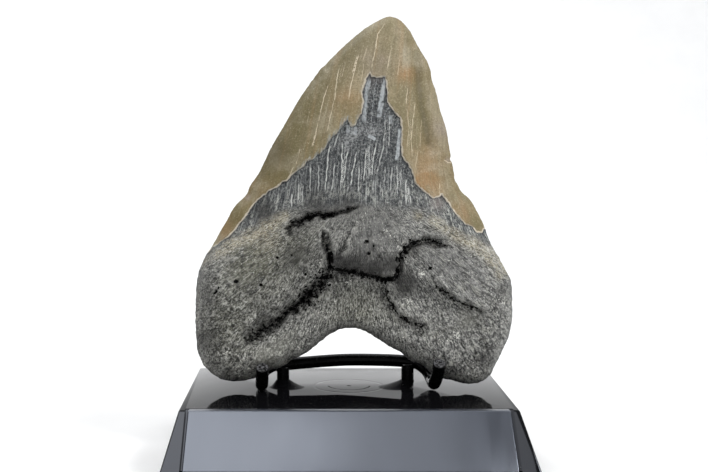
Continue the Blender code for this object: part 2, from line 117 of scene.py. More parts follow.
# Tooth. Its outline and marks are pixels of the photograph, scaled by its real width.
TOOTH_WIDTH = 109.0
TOOTH_FOOT = Vector((2.7, 3.7, 1.8)) * MM
TOOTH_LEAN = math.radians(4)
OUTLINE = [
    (389, 17), (384, 18.2), (380, 20), (370, 25.5), (360, 32.5), (350, 41), (340, 50), (330, 60),
    (324.5, 66), (321, 68.5), (317, 74), (310, 83.5), (300, 98), (292, 111.5), (285, 124), (271, 148),
    (260, 171), (250, 186), (247.5, 193), (243, 198.5), (240, 201), (233, 209), (226, 222),
    (221, 230), (214.5, 242), (210, 249), (206, 255), (203, 262), (200, 268.5), (197.5, 278),
    (196.5, 290), (196, 305), (195.8, 320), (196, 330), (197, 343), (198.5, 352), (202, 361),
    (206, 367.5), (211, 372), (217, 376.5), (225, 379.8), (235, 381), (245, 380), (256, 377.5),
    (262, 375.5), (270, 370), (278, 368), (286, 364), (291, 360), (300, 356), (306, 352.5),
    (312, 348.5), (320, 341.5), (328, 335.5), (335, 331), (340, 329), (345, 328.3), (355, 328),
    (362, 330), (370, 334), (380, 340.5), (386, 344.5), (392, 348), (400, 352), (410, 360.5),
    (420, 364), (425, 368), (431, 373.7), (437, 376.5), (444, 378.5), (450, 379.5), (460, 382.5),
    (470, 383.5), (480, 381.5), (487, 376.5), (491, 371), (494, 364.5), (500, 353), (504, 344),
    (508, 334.5), (510, 325), (511, 315), (511, 300), (510.5, 290), (509.5, 280), (505, 271),
    (500, 261), (495, 252), (490, 243), (487, 235.5), (484, 226.5), (480, 218), (475, 208.5),
    (470, 200), (465, 195.5), (460, 190.5), (457.5, 185), (454.5, 180), (453.5, 172), (451.8, 163.5),
    (449.8, 160), (450.5, 155), (449, 148), (446.5, 132), (443.5, 121), (440, 111), (437, 97),
    (435, 90), (431.5, 80), (430.5, 72), (427, 62), (420, 50.5), (415, 41.5), (410, 32),
    (405, 25.5), (400, 20.5), (395, 18)]
ENAMEL_EDGE = [
    (207, 253), (213, 247), (222, 241), (230, 236), (235, 229.5), (240, 223), (245, 218),
    (250, 209.5), (258, 200), (265, 195), (271, 190), (277, 188), (283, 182.5), (287, 182),
    (291, 176.5), (295, 173), (299, 170), (303, 168), (307, 163), (310.5, 160), (314, 158.5),
    (320, 155), (326, 147), (331, 139), (338, 133), (343, 124), (346, 120), (350, 128), (354, 127),
    (357, 120), (360, 116), (362, 104), (360.5, 95), (363, 86), (365, 80), (367.5, 77), (369, 75.5),
    (371, 79.5), (376, 80.5), (384, 79), (385.5, 88), (386, 95), (386, 104), (388, 108), (393, 115),
    (399, 120), (400, 130), (399.5, 145), (400, 158), (404, 163), (409, 170), (412, 178),
    (413, 184), (419, 190), (426, 195), (430, 199), (437, 197), (440, 194.5), (445, 201),
    (450, 209), (457, 218), (463, 224), (470, 227), (475, 232), (480, 232.5), (486, 227)]
DENTINE_EDGE = [
    (200, 258), (211, 250), (222, 244), (237, 235), (252, 228), (262, 221), (280, 212), (300, 208),
    (320, 207), (345, 203), (370, 205), (395, 208), (410, 206), (425, 212), (440, 222), (455, 231),
    (470, 237), (486, 241), (500, 246)]
NECK_LINE = [(190, 272), (240, 240), (300, 212), (345, 200), (400, 200), (430, 212), (470, 236), (516, 272)]
UPPER_CRACK = [
    (283, 236), (288, 231), (294, 226), (300, 222), (310, 217), (320, 217), (330, 216),
    (338, 213.5), (345, 211), (352, 209.5), (360, 210)]
NOTCH = [(324, 231), (325, 239), (327.5, 249), (329.5, 257), (329, 265), (327, 273)]
BOSS_LEDGE = [
    (328, 264), (333, 268.5), (343, 270), (355, 271.5), (368, 275), (380, 278.5), (388, 278.5), (394, 275),
    (396, 266), (397, 258), (401, 250), (407, 244.5), (415, 241), (425, 239.5), (435, 242), (447, 246.5)]
LOBE_GROOVE = [
    (328, 266), (325, 275), (318, 284), (310, 292), (303, 299), (295, 305), (280, 317), (265, 328),
    (250, 336), (240, 336.5)]
RIGHT_STEP = [(427, 283), (439, 289), (448, 297), (458, 302), (470, 306), (483, 313)]
LOWER_STEP = [(383, 281), (384.5, 291), (388, 301), (393, 309), (400, 316), (412, 322), (428, 327)]
LEFT_SCRATCH = [(221, 286), (218, 291), (215.5, 294)]
BOSS = (360, 240)
LEFT_BULGE = [(222, 292), (262, 285), (305, 256)]
RIGHT_BULGE = [(425, 262), (455, 275), (480, 292)]
LOWER_LEFT_BULGE = [(222, 352), (262, 350)]
ARCH_HOLLOW = [(345, 296), (368, 304)]
CROWN_VALLEY = [(413, 48), (416, 65), (417.5, 88), (420, 108), (423, 124), (428, 150)]
FIBRE_CENTRE = (360, 185)
PITS = [  # column, row, radius in millimetres
    (238, 281, 0.55), (262, 284, 0.4), (364, 242, 0.45), (366, 253, 0.4), (427, 268, 0.5),
    (292, 255, 0.3), (305, 274, 0.35), (278, 257, 0.3), (371, 246, 0.25)]
FLECKS = [  # clusters of pale grains: column, row, reach in millimetres, strength
    (255, 313, 2.4, 1), (228, 350, 2.6, 1), (243, 364, 2.6, 1), (300, 345, 2.8, 1), (331, 283, 1.4, 1),
    (349, 283, 1.3, 1), (208, 268, 2.6, 1), (202, 300, 2.0, 1), (470, 368, 3.2, 1), (418, 274, 1.6, 1),
    (452, 334, 3.0, 1), (385, 232, 2.2, 1), (276, 352, 2.4, 1), (500, 300, 2.4, 1), (405, 300, 2.4, 1),
    (258, 372, 2.4, 1), (398, 246, 1.6, 1)]
HAIRLINES = [  # lines on the enamel: strength, then the points
    (1.0, [(385, 24), (381, 30), (377, 36), (374, 52), (372, 62), (370, 72)]),
    (0.8, [(376, 46), (373, 58), (371.5, 66)]), (0.8, [(391, 47), (388, 60), (386, 72)]),
    (1.0, [(358, 56), (354, 72), (350, 88), (347.5, 103)]), (0.7, [(356, 58), (353, 70), (351.5, 76)]),
    (1.0, [(339, 68), (336, 84), (334, 100), (330, 118), (326, 136)]),
    (1.0, [(328, 86), (324, 98), (321, 110), (318, 125)]), (1.0, [(318, 124), (315.5, 136), (313, 148)]),
    (0.8, [(316, 132), (313.5, 142), (311.5, 149)]), (0.8, [(300, 150), (298, 160), (296, 166)]),
    (0.8, [(294, 168), (290, 176), (287, 181)]), (0.6, [(306, 142), (303, 152)]),
    (0.7, [(406, 90), (404, 107)]), (0.8, [(414, 103), (411, 122), (409, 142), (410, 160)]),
    (0.6, [(405, 110), (407, 130), (405, 150)]), (0.5, [(420, 120), (418, 150)]),
    (0.5, [(413, 170), (416, 152)]), (0.7, [(438, 197), (437.5, 184)]),
    (0.9, [(443, 160.5), (447, 163), (451, 163)]), (0.5, [(345, 64), (341, 80)]),
    (0.5, [(366, 50), (362, 64)]), (0.4, [(398, 60), (396, 78)]), (0.5, [(363, 66), (360, 84)]),
    (0.4, [(310, 112), (306, 128)])]
FILLINGS = [  # broad pale fillings in the dentine
    (0.8, [(362.5, 126), (363.5, 112), (365.5, 94), (368.5, 80)]),
    (0.9, [(377.5, 116), (380, 100), (382.5, 88), (384, 80)]), (1.0, [(377, 121), (379, 112), (381, 105)]),
    (1.0, [(394.5, 163), (397, 146), (398, 130)]), (1.0, [(366.5, 138), (370, 140), (374, 142)]),
    (0.6, [(347, 137), (347.5, 127)]), (0.6, [(354, 138), (354.5, 129)]), (0.5, [(389, 127), (388.5, 117)])]
HAZE = [(342, 153), (348, 141), (357, 134), (369, 132), (380, 138)]
STREAKS = [  # pale streaks in the dentine
    (1.0, [(339, 194), (341, 172), (341, 143)]), (0.9, [(342, 186), (345, 164), (347, 150)]),
    (1.0, [(349, 188), (352, 170), (355.5, 153)]), (0.9, [(324, 194), (327, 167), (329, 145)]),
    (0.7, [(331, 193), (334, 165)]), (1.0, [(370, 178), (371, 165), (375, 144)]),
    (0.9, [(362, 184), (365, 150)]), (0.7, [(367, 179), (368, 147)]),
    (0.7, [(375, 178), (377, 167), (382, 147), (384, 120)]), (0.6, [(387, 150), (388, 119)]),
    (0.8, [(310, 199), (310, 165)]), (0.7, [(318, 194), (318, 166)]), (0.7, [(388, 194), (390, 168)]),
    (0.8, [(395, 196), (395, 166)]), (0.9, [(403.5, 207), (403.5, 180)]), (0.8, [(408, 205), (406, 187)]),
    (0.8, [(356.5, 194), (358, 167)]), (0.9, [(298, 206), (299, 184)]), (0.9, [(302, 205), (303, 186)]),
    (0.9, [(291, 211), (292, 194)]), (0.8, [(315, 150), (317, 138), (320, 127)]),
    (0.6, [(382, 192), (383.5, 168)]), (0.6, [(333, 150), (337, 137)]), (0.6, [(398, 190), (399, 170)]),
    (0.5, [(371, 196), (372, 182)]), (0.6, [(345, 200), (347, 188)]), (0.5, [(378, 196), (379, 183)])]
STREAK_LEAN = [  # column, how far a streak leans right for each step up, by the root and high up
    (190, 0.38, 0.30), (250, 0.30, 0.27), (300, 0.14, 0.22), (340, 0.07, 0.17), (380, 0.05, 0.13),
    (400, 0.02, 0.12), (430, -0.25, 0.05), (490, -0.45, 0.0)]

LEFT_TAN = [(198, 268), (206, 257), (222, 249), (237, 240), (252, 233), (264, 226), (280, 218), (292, 215)]
RIGHT_TAN = [(424, 215), (440, 226), (458, 236), (474, 245), (487, 256), (496, 266), (503, 280)]
OLIVE_RIGHT = [(441, 196), (452, 206), (466, 221), (481, 229)]
CALM = [  # smoother places: column, row, reach in millimetres, strength
    (255, 258, 8, 1), (236, 272, 5, 1), (445, 264, 8, 1), (470, 280, 6, 1), (366, 240, 5, 1),
    (385, 228, 5, 1), (300, 258, 4, 1)]
STAIN_AND_SHADE_PATCHES = [  # darker (+) or paler (-) patches, real stains mixed with painted shade such as under the boss: column, row, reach in millimetres, strength
    (372, 269, 3.6, 1.0), (350, 265, 3.2, 1.0), (337, 260, 3.0, 0.9), (389, 262, 3.2, 0.9),
    (362, 252, 5.5, 0.5), (404, 278, 4.5, 0.6), (210, 262, 5.0, 0.3), (205, 296, 6.0, 0.4),
    (208, 338, 7.0, 0.3), (290, 262, 7.0, 0.4), (480, 362, 7.0, 0.45), (448, 372, 5.0, 0.4),
    (300, 226, 4.0, 0.5), (412, 248, 3.0, 0.6), (318, 250, 3.0, 0.4), (262, 214, 4.0, 0.5),
    (312, 196, 6.0, 0.45), (345, 197, 4.5, 0.35), (424, 292, 4.0, 0.3), (288, 336, 6.0, -0.5),
    (268, 355, 6.0, -0.7), (465, 318, 5.0, -0.6), (240, 246, 4.0, -0.3), (345, 300, 6.0, -0.3),
    (398, 312, 4.0, -0.4), (430, 328, 6.0, -0.3), (238, 236, 5.0, 0.28), (262, 282, 8.0, 0.30),
    (262, 311, 5.0, 0.40), (400, 291, 5.0, 0.65), (502, 292, 5.0, 0.45), (214, 300, 13.0, 0.2),
    (222, 335, 8.0, 0.2), (204, 270, 4.0, 0.25), (318, 210, 5.0, 0.4), (345, 208, 4.0, 0.3),
    (300, 252, 5.0, 0.4), (341, 270, 3.0, 0.5), (384, 228, 5.0, 0.3), (482, 348, 5.0, 0.25),
    (202, 342, 5.0, 0.25), (268, 210, 4.5, 0.5), (424, 212, 3.5, 0.25), (426, 150, 4.0, 0.25),
    (492, 284, 5.0, 0.2), (230, 358, 6.0, 0.2), (276, 152, 6.5, 0.8), (256, 174, 5.0, 0.4)]
PAINTED_SHADE_BANDS = [  # bands of painted shade along the lobe groove, the upper crack and the crown valley: line, reach in millimetres, strength
    (LOBE_GROOVE, 4.5, 0.4), (UPPER_CRACK, 3.0, 0.2), (CROWN_VALLEY[1:], 1.2, 0.6)]
WARM = [  # orange brown patches of the enamel, in the same terms as the stains
    (422, 186, 5.5, 1.3), (428, 158, 6, 0.5), (405, 77, 3.2, 1.1), (348, 105, 5, 0.6), (458, 214, 4, 0.7),
    (228, 232, 4, 0.5), (262, 200, 7, 0.35)]
MAUVE = [
    (443, 130, 4, 1), (375, 68, 5, 0.8), (435, 204, 2.6, 0.7), (248, 198, 0.9, 1.2), (447, 161, 0.9, 1.2)]
GREEN = [(262, 262, 14, 1), (230, 330, 14, 0.8), (355, 310, 11, 1), (300, 235, 8, 0.6)]
SPOTS = [("calm", CALM), ("flecky", FLECKS), ("warm", WARM), ("mauve", MAUVE), ("green", GREEN)]
PALE = [(358, 300, 11, 0.9)]
TAN = [(266, 236, 5, 0.75), (415, 217, 1.5, 1.2)]
TAN_BANDS = [(LEFT_TAN, 2.2, 1.5), (RIGHT_TAN, 2.4, 1.6)]
SWELLINGS = [  # line, height and reach in millimetres
    (LEFT_BULGE, 3.0, 11), (RIGHT_BULGE, 3.0, 11), (LOWER_LEFT_BULGE, 1.2, 8), (ARCH_HOLLOW, -1.0, 8)]
LEDGES = [  # line, rise on its left, drop on its right, reach, depth and width of its furrow, rounding
    (BOSS_LEDGE, 4.2, 1.0, 11, 2.0, 0.8, 7.5), (LOBE_GROOVE[::-1], 1.8, 1.4, 8, 0.0, 0.9, 2.6),
    (NOTCH, 1.8, 0.4, 5, 3.6, 1.0, 2.6), (RIGHT_STEP, 1.6, 0.8, 6, 0.8, 0.7, 3.6),
    (LOWER_STEP, 1.5, 1.0, 5, 0.8, 0.7, 2.6)]
GROOVES = [  # uneven furrows: line, width and depth in millimetres
    (LOBE_GROOVE, 2.8, 3.0), (LOBE_GROOVE[1:8], 1.1, 2.2), (UPPER_CRACK[:8], 1.1, 2.6)]
LUMPS = [(6.0, 0.55, 3.0), (2.8, 0.42, 9.0), (1.5, 0.22, 19.0)]  # size, height, seed
FURROWS = [  # dark cracks with painted shade in creases and under ledges: line, width in millimetres, strength, how broken up by crumbs, share that tapers
    (UPPER_CRACK[2:8], 1.25, 0.85, 0.8, 0.25), (UPPER_CRACK[5:], 0.3, 1.0, 0.4, 0.3),
    (UPPER_CRACK[:6], 1.9, 0.42, 0.9, 0.35), (NOTCH[1:], 0.45, 1.0, 0.3, 0.3),
    (NOTCH[2:5], 0.85, 1.3, 0.2, 0.25), (BOSS_LEDGE[:9], 0.6, 1.6, 0.2, 0.06),
    (BOSS_LEDGE[1:8], 1.5, 0.5, 0.3, 0.1), (BOSS_LEDGE[7:14], 0.55, 1.2, 0.6, 0.1),
    (BOSS_LEDGE[12:], 0.35, 0.9, 0.3, 0.25), (BOSS_LEDGE[8:13], 2.0, 0.48, 1.1, 0.2),
    (LOBE_GROOVE[:6], 3.6, 0.60, 0.9, 0.15), (LOBE_GROOVE[4:], 2.4, 0.42, 0.7, 0.15),
    (LOBE_GROOVE[:9], 0.7, 0.9, 0.8, 0.1), (RIGHT_STEP, 0.32, 0.95, 0.5, 0.2),
    (RIGHT_STEP, 1.3, 0.3, 0.3, 0.2), (LOWER_STEP, 0.35, 0.95, 0.5, 0.2), (LOWER_STEP, 1.3, 0.32, 0.3, 0.2)]

# Millimetres. Depths are measured from the tooth's middle plane.
CROWN_FRONT = 13.5
CROWN_BACK = 7.0
CROWN_FULL = 51.0  # the half width at which the crown has those depths
CROWN_DOME = 0.86  # share of the half width over which the crown's section rounds off
CROWN_HALF_WIDTHS = [  # height above the lobes' lowest point, half the crown's width there
    (30, 54), (46, 51), (55, 45), (66, 38), (82, 31), (99, 24), (109, 18), (117, 13), (122, 9), (127, 4)]
BOSS_HEIGHT = 5.2
BOSS_REACH = 13.0
PIT_DEPTH = 1.3
PIT_SHADE = 1.3  # a pit's darkness, and how much wider than the pit it spreads
NECK_HEIGHT = 14.0  # over which the crown's section turns into the root's
ROOT_FRONT = 9.6
ROOT_BACK = 8.6
ROOT_FRONT_EDGE = 10.5
ROOT_BACK_EDGE = 13.0
ENAMEL_STEP = 0.8
RIM_SPACING = 0.45
FRONT_SPACING = 0.436
BACK_SPACING = 0.66
RING_STEP = 0.55  # along the face, near the rim
NICK_DEPTH = 0.10
FLOW_START = 60.0  # height at which the coordinate across the streaks is a plain one
FLOW_STEPS = 24
FAR = 160.0  # well past the tooth on every side
EDGE_FULLNESS = 2.6  # 2 rounds the root's front edge like an ellipse, and more is squarer
CELL = 0.6  # of the grid that averages are taken on
RAGGED_MIDDLE = -9.0  # where the enamel's edge frays
RAGGED_REACH = 11.0
GAP_LIMIT = 3.0  # drawn lines say how far off they are up to here

# Metres. A sweep of floor and backdrop, and the lamps.
SWEEP_HALF_WIDTH = 2.6
SWEEP_FRONT = -2.6
SWEEP_BEND = 0.55
SWEEP_RADIUS = 0.4
SWEEP_TOP = 1.6
SWEEP_STEPS = 16
WHITE = (1, 1, 1)
LAMPS = [  # name, place, target, width, height, watts, colour
    ("overhead_left", (-0.26, -0.28, 0.75), (-0.02, 0, 0.02), 0.45, 0.45, 2.4, WHITE),
    ("overhead_middle", (0.11, -0.28, 0.76), (0.02, 0, 0.02), 0.3, 0.4, 0.65, WHITE),
    ("key_right", (0.62, -0.36, 0.72), (0, 0, 0.08), 0.3, 0.3, 5.8, WHITE),
    ("front_fill", (-0.1, -1.0, 0.40), (0, 0, 0.08), 1.1, 0.9, 1.8, WHITE),
    ("backdrop_light", (0, 0.45, 1.2), (0, 0.95, 0.40), 2.4, 0.5, 12.2, (0.955, 0.975, 1.0)),
    ("floor_light", (-0.5, 0.5, 0.9), (-0.25, 0.3, 0.0), 0.6, 0.6, 3.5, WHITE)]
WORLD_STRENGTH = 0.14


def clear_start_objects():
    for thing in list(bpy.data.objects):
        if thing.name in ("Cube", "Light", "Camera"):
            bpy.data.objects.remove(thing, do_unlink=True)


# Curves and fields in the plane


def catmull_rom(points, closed, steps=8):
    """Points on a smooth curve through the given points."""
    points = np.array(points, float)
    if closed:
        padded = np.vstack([points[-1:], points, points[:2]])
    else:
        padded = np.vstack([2 * points[0] - points[1], points, 2 * points[-1] - points[-2]])
    curve = []
    for a, b, c, d in zip(padded, padded[1:], padded[2:], padded[3:]):
        for t in np.linspace(0, 1, steps, endpoint=False):
            bend = 2 * a - 5 * b + 4 * c - d + t * (3 * (b - c) + d - a)
            curve.append(b + 0.5 * t * (c - a + t * bend))
    if not closed:
        curve.append(points[-1])
    return np.array(curve)


def resample(curve, spacing, closed=False):
    """Even steps of about the given length along a curve."""
    if closed:
        curve = np.vstack([curve, curve[:1]])
    lengths = np.linalg.norm(np.diff(curve, axis=0), axis=1)
    along = np.concatenate([[0], np.cumsum(lengths)])
    count = max(int(round(along[-1] / spacing)), 2)
    places = np.linspace(0, along[-1], count + 1)
    even = np.column_stack([np.interp(places, along, curve[:, axis]) for axis in range(curve.shape[1])])
    return even[:-1] if closed else even


def to_plane(pixels):
    """Photograph points to millimetres on the tooth's plane, u to the right and v up."""
    points = np.array(pixels, float)
    columns = [column for column, row in OUTLINE]
    scale = TOOTH_WIDTH / (max(columns) - min(columns))
    middle = (max(columns) + min(columns)) / 2
    lowest = max(row for column, row in OUTLINE)
    return np.column_stack([(points[:, 0] - middle) * scale, (lowest - points[:, 1]) * scale])


def smooth(share):
    share = np.clip(share, 0, 1)
    return share * share * (3 - 2 * share)


def line_field(points, line):
    """Distance from a polyline, the side (+1 left of its run) and the share of its length passed."""
    best = np.full(len(points), np.inf)
    side = np.ones(len(points))
    along = np.zeros(len(points))
    passed = 0.0
    for start, end in zip(line[:-1], line[1:]):
        run = end - start
        length = math.hypot(*run)
        offset = points - start
        share = np.clip(offset @ run / length ** 2, 0, 1)
        gap = offset - share[:, None] * run
        distance = np.hypot(gap[:, 0], gap[:, 1])
        nearer = distance < best
        best = np.where(nearer, distance, best)
        cross = run[0] * offset[:, 1] - run[1] * offset[:, 0]
        side = np.where(nearer, np.where(cross >= 0, 1.0, -1.0), side)
        along = np.where(nearer, passed + share * length, along)
        passed += length
    return best, side, along / passed


def inside(points, polygon):
    """True for the points that a closed polygon holds."""
    held = np.zeros(len(points), bool)
    u, v = points.T
    for (u0, v0), (u1, v1) in zip(polygon, np.roll(polygon, -1, axis=0)):
        if v0 == v1:
            continue
        crosses = (v0 > v) != (v1 > v)
        held ^= crosses & (u < (u1 - u0) * (v - v0) / (v1 - v0) + u0)
    return held


def wave(points, size, seed, detail=1):
    """Smooth noise from -1 to 1 whose features are about size millimetres across."""
    scaled = (points / size).tolist()
    if detail == 1:
        return np.array([noise.noise((u, v, seed)) for u, v in scaled])
    return np.array([noise.fractal((u, v, seed), 0.7, 2.0, detail) for u, v in scaled])


def wobble(points, size, reach, seed):
    """The points moved about a little, which roughens the lines that are measured from them."""
    shifts = [wave(points, size, number, 2) for number in (seed, seed + 7.3)]
    return points + reach * np.column_stack(shifts)


class Rim:
    """The tooth's outline, with fast distances from it."""

    def __init__(self, points):
        self.points = points
        tangent = np.roll(points, -1, axis=0) - np.roll(points, 1, axis=0)
        tangent /= np.linalg.norm(tangent, axis=1)[:, None]
        self.inward = np.column_stack([-tangent[:, 1], tangent[:, 0]])
        fine = resample(points, 0.12, closed=True)
        self.tree = kdtree.KDTree(len(fine))
        for index, (u, v) in enumerate(fine.tolist()):
            self.tree.insert((u, v, 0), index)
        self.tree.balance()

    def distance(self, points):
        return np.array([self.tree.find((u, v, 0))[2] for u, v in points.tolist()])

    def ring(self, inset):
        """The outline moved inward, where that stays clear of itself."""
        ring = self.points + inset * self.inward
        return ring[inside(ring, self.points) & (self.distance(ring) > 0.93 * inset)]


# The tooth's form, shared by its mesh and its colours


def crown_half_width(v):
    return np.interp(v, *np.array(CROWN_HALF_WIDTHS, float).T)


def fade_ends(along, length=0.12):
    """1 along a line, easing to 0 over a share of its length at both ends."""
    return smooth(along / length) * smooth((1 - along) / length)


def groove(points, pixels, width, depth):
    distance, _, along = line_field(points, to_plane(pixels))
    return -depth * np.exp(-(distance / width) ** 2) * fade_ends(along)


def ledge(points, pixels, rise, drop, reach, crease, crease_width, rounding):
    """A rounded lip along a line: raised on its left, lowered on its right, with a furrow between."""
    distance, side, along = line_field(points, to_plane(pixels))
    fall = np.exp(-(distance / reach) ** 2)
    rounded = rise * np.sqrt(1 - (1 - np.clip(distance / rounding, 0, 1)) ** 2)
    lip = np.where(side > 0, rounded, -drop * smooth(distance / 0.8)) * fall
    return (lip - crease * np.exp(-(distance / crease_width) ** 2)) * fade_ends(along, 0.1)


def swelling(points, pixels, height, reach):
    distance = line_field(points, to_plane(pixels))[0]
    return height * np.exp(-(distance / reach) ** 2)


def dome(points, pixel, height, reach):
    distance = np.hypot(*(points - to_plane([pixel])).T)
    return height * np.exp(-(distance / reach) ** 2)


def root_share(points):
    """0 on the crown, 1 on the root, easing over the neck."""
    neck = to_plane(NECK_LINE)
    return smooth(0.5 + (np.interp(points[:, 0], neck[:, 0], neck[:, 1]) - points[:, 1]) / NECK_HEIGHT)


def signed_gap(points, pixels):
    """Millimetres above (+) or below (-) a line that crosses the tooth from left to right."""
    edge = to_plane(pixels)
    around = [(FAR, edge[-1, 1]), (FAR, FAR), (-FAR, FAR), (-FAR, edge[0, 1])]
    distance = line_field(points, edge)[0]
    return np.where(inside(points, np.vstack([edge, around])), distance, -distance)


def fibre_places(points):
    """Coordinates across and along the root's fibres, which fan out from above the boss."""
    fibre = points - to_plane([FIBRE_CENTRE])
    return 40 * np.arctan2(fibre[:, 0], -fibre[:, 1]), np.hypot(*fibre.T)


def enamel_gap(points):
    """Millimetres above the enamel's lower edge, which is ragged along the streaks of the left slope."""
    gap = signed_gap(wobble(points, 1.6, 0.22, 2.0), ENAMEL_EDGE)
    flow = np.column_stack([flow_across(points) / 0.9, points[:, 1] / 9])
    ragged = 0.12 + 0.75 * np.exp(-((points[:, 0] - RAGGED_MIDDLE) / RAGGED_REACH) ** 2)
    return gap + ragged * wave(flow, 1.0, 55.0)


def front_relief(points, root):
    """Swellings, ledges, furrows, pits and lumps of the front."""
    rough = wobble(points, 2.4, 1.1, 5.0)
    uneven = 1 + 0.6 * wave(points, 2.1, 14.0)
    relief = dome(points, BOSS, BOSS_HEIGHT, BOSS_REACH)
    relief += sum(swelling(points, *form) for form in SWELLINGS)
    relief += sum(ledge(rough, *form) for form in LEDGES)
    relief += sum(groove(rough, *form) for form in GROOVES) * uneven
    relief += groove(rough, UPPER_CRACK[5:], 0.7, 2.0) + groove(points, LEFT_SCRATCH, 0.35, 0.6)
    relief -= sum(dome(points, (column, row), PIT_DEPTH, radius) for column, row, radius in PITS)
    fibre_across, fibre_along = fibre_places(points)
    fibres = wave(np.column_stack([fibre_across / 1.1, fibre_along / 5.5]), 1.0, 37.0)
    lumps = sum(height * wave(points, size, seed) for size, height, seed in LUMPS)
    return relief + (lumps + 0.2 * fibres) * root


def front_depth(points, rim):
    """How far the domed face stands in front of the tooth's middle plane."""
    distance = rim.distance(points)
    half = crown_half_width(points[:, 1])
    across = np.clip(distance / (CROWN_DOME * half), 0, 1)
    crown = CROWN_FRONT * (half / CROWN_FULL) ** 0.8 * (1 - (1 - across) ** 2) ** 0.9
    edge = 1 - np.clip(distance / ROOT_FRONT_EDGE, 0, 1)
    root = ROOT_FRONT * (1 - edge ** EDGE_FULLNESS) ** (1 / EDGE_FULLNESS)
    share = root_share(points)
    enamel = ENAMEL_STEP * smooth(0.5 + enamel_gap(points) / 0.5)
    ripples = 0.10 * wave(np.column_stack([flow_across(points) / 1.3, points[:, 1] / 14]), 1.0, 12.0)
    ripples = (ripples + swelling(points, CROWN_VALLEY, -1.2, 2.6)) * (1 - share)
    return (crown * (1 - share) + root * share + front_relief(points, share) * smooth(distance / 7)
            + (enamel + ripples) * smooth(distance / 3))


def back_depth(points, rim):
    """How far the flatter face stands behind the tooth's middle plane."""
    distance = rim.distance(points)
    half = crown_half_width(points[:, 1])
    across = np.clip(distance / (CROWN_DOME * half), 0, 1)
    crown = CROWN_BACK * (half / CROWN_FULL) ** 1.3 * (1 - (1 - across) ** 2)
    edge = 1 - np.clip(distance / ROOT_BACK_EDGE, 0, 1)
    root = ROOT_BACK * np.sqrt(1 - edge ** 2)
    share = root_share(points)
    relief = 0.7 * wave(points, 11.0, 8.0) + 0.4 * wave(points, 4.0, 21.0)
    relief = relief * share - dome(points, BOSS, 1.8, 20)
    enamel = 0.5 * smooth(0.5 + back_gap(points) / 0.5)
    return (crown * (1 - share) + root * share + relief * smooth(distance / 7)
            + enamel * smooth(distance / 3))


def back_gap(points):
    """Millimetres above the back enamel's lower edge, a shallow arch that follows the neck."""
    neck = to_plane(NECK_LINE)
    line = np.interp(points[:, 0], neck[:, 0], neck[:, 1])
    return points[:, 1] - line - 1.5 - 1.2 * wave(points, 9.0, 31.0) - 0.3 * wave(points, 1.7, 33.0)


# Tooth mesh


def hexagonal_grid(low, high, spacing):
    rows = []
    for index, v in enumerate(np.arange(low[1], high[1], spacing * math.sqrt(3) / 2)):
        u = np.arange(low[0] + (spacing / 2 if index % 2 else 0), high[0], spacing)
        rows.append(np.column_stack([u, np.full(len(u), v)]))
    return np.vstack(rows)


def sheet_points(rim, spacing, radius):
    """The points inside the rim that one face is built on, closer together where it turns round."""
    rings = []
    angle = RING_STEP / radius
    inset = radius * (1 - math.cos(angle))
    while True:
        rings.append(rim.ring(inset))
        angle += RING_STEP / radius
        following = radius * (1 - math.cos(angle))
        if following - inset > 0.8 * spacing:
            break
        inset = following
    grid = hexagonal_grid(rim.points.min(axis=0), rim.points.max(axis=0), spacing)
    grid = grid[inside(grid, rim.points)]
    grid = grid[rim.distance(grid) > inset + 0.6 * spacing]
    return np.vstack(rings + [grid])


def triangulate(rim, points):
    """Triangles over the rim's points and the others, counted in that order."""
    everything = [Vector(point) for point in np.vstack([rim.points, points])]
    count = len(rim.points)
    edges = [(index, (index + 1) % count) for index in range(count)]
    result = geometry.delaunay_2d_cdt(everything, edges, [], 1, 1e-6)
    origin = [sources[0] for sources in result[3]]
    return [tuple(origin[corner] for corner in triangle) for triangle in result[2]]


def flow_across(points):
    """A coordinate that stays the same along the crown's streaks, in millimetres."""
    leans = np.array(STREAK_LEAN)
    columns = to_plane(np.column_stack([leans[:, 0], leans[:, 0]]))[:, 0]
    u = points[:, 0].copy()
    v = points[:, 1].copy()
    drop = (v - FLOW_START) / FLOW_STEPS
    for _ in range(FLOW_STEPS):
        high = smooth((v - 66) / 16)
        low_lean = np.interp(u, columns, leans[:, 1])
        high_lean = np.interp(u, columns, leans[:, 2])
        u -= drop * (low_lean + (high_lean - low_lean) * high)
        v -= drop
    return u


def streak_rows():
    """Places across the flow, feet, lengths and strengths of the fine streaks by the root."""
    random = np.random.default_rng(11)
    place = -52.0
    streaks = []
    while place < 50:
        place += 0.7 + 0.6 * random.random()
        foot = random.uniform(-1.5, 2.0)
        length = random.uniform(3, 8)
        streaks.append((place, foot, length, random.uniform(0.5, 1.0)))
    return np.array(streaks)


def streak_marks(points, across):
    """Signed distance from the nearest pale streak and how strong it is."""
    streaks = streak_rows()
    nearest = np.abs(across[:, None] - streaks[None, :, 0]).argmin(axis=1)
    place, foot, length, strength = streaks[nearest].T
    rise = signed_gap(points, DENTINE_EDGE)
    share = smooth((rise - foot) / 1.5) * smooth((foot + length - rise) / 3.0)
    return np.clip(across - place, -GAP_LIMIT, GAP_LIMIT), share * strength


def line_marks(points, lines):
    """Signed distance from the nearest of some drawn lines and how strong it is."""
    gap = np.full(len(points), GAP_LIMIT)
    strength = np.zeros(len(points))
    for force, pixels in lines:
        distance, side, along = line_field(points, to_plane(pixels))
        nearer = distance < np.abs(gap)
        gap = np.where(nearer, distance * side, gap)
        strength = np.where(nearer, force * fade_ends(along, 0.1), strength)
    return gap, strength


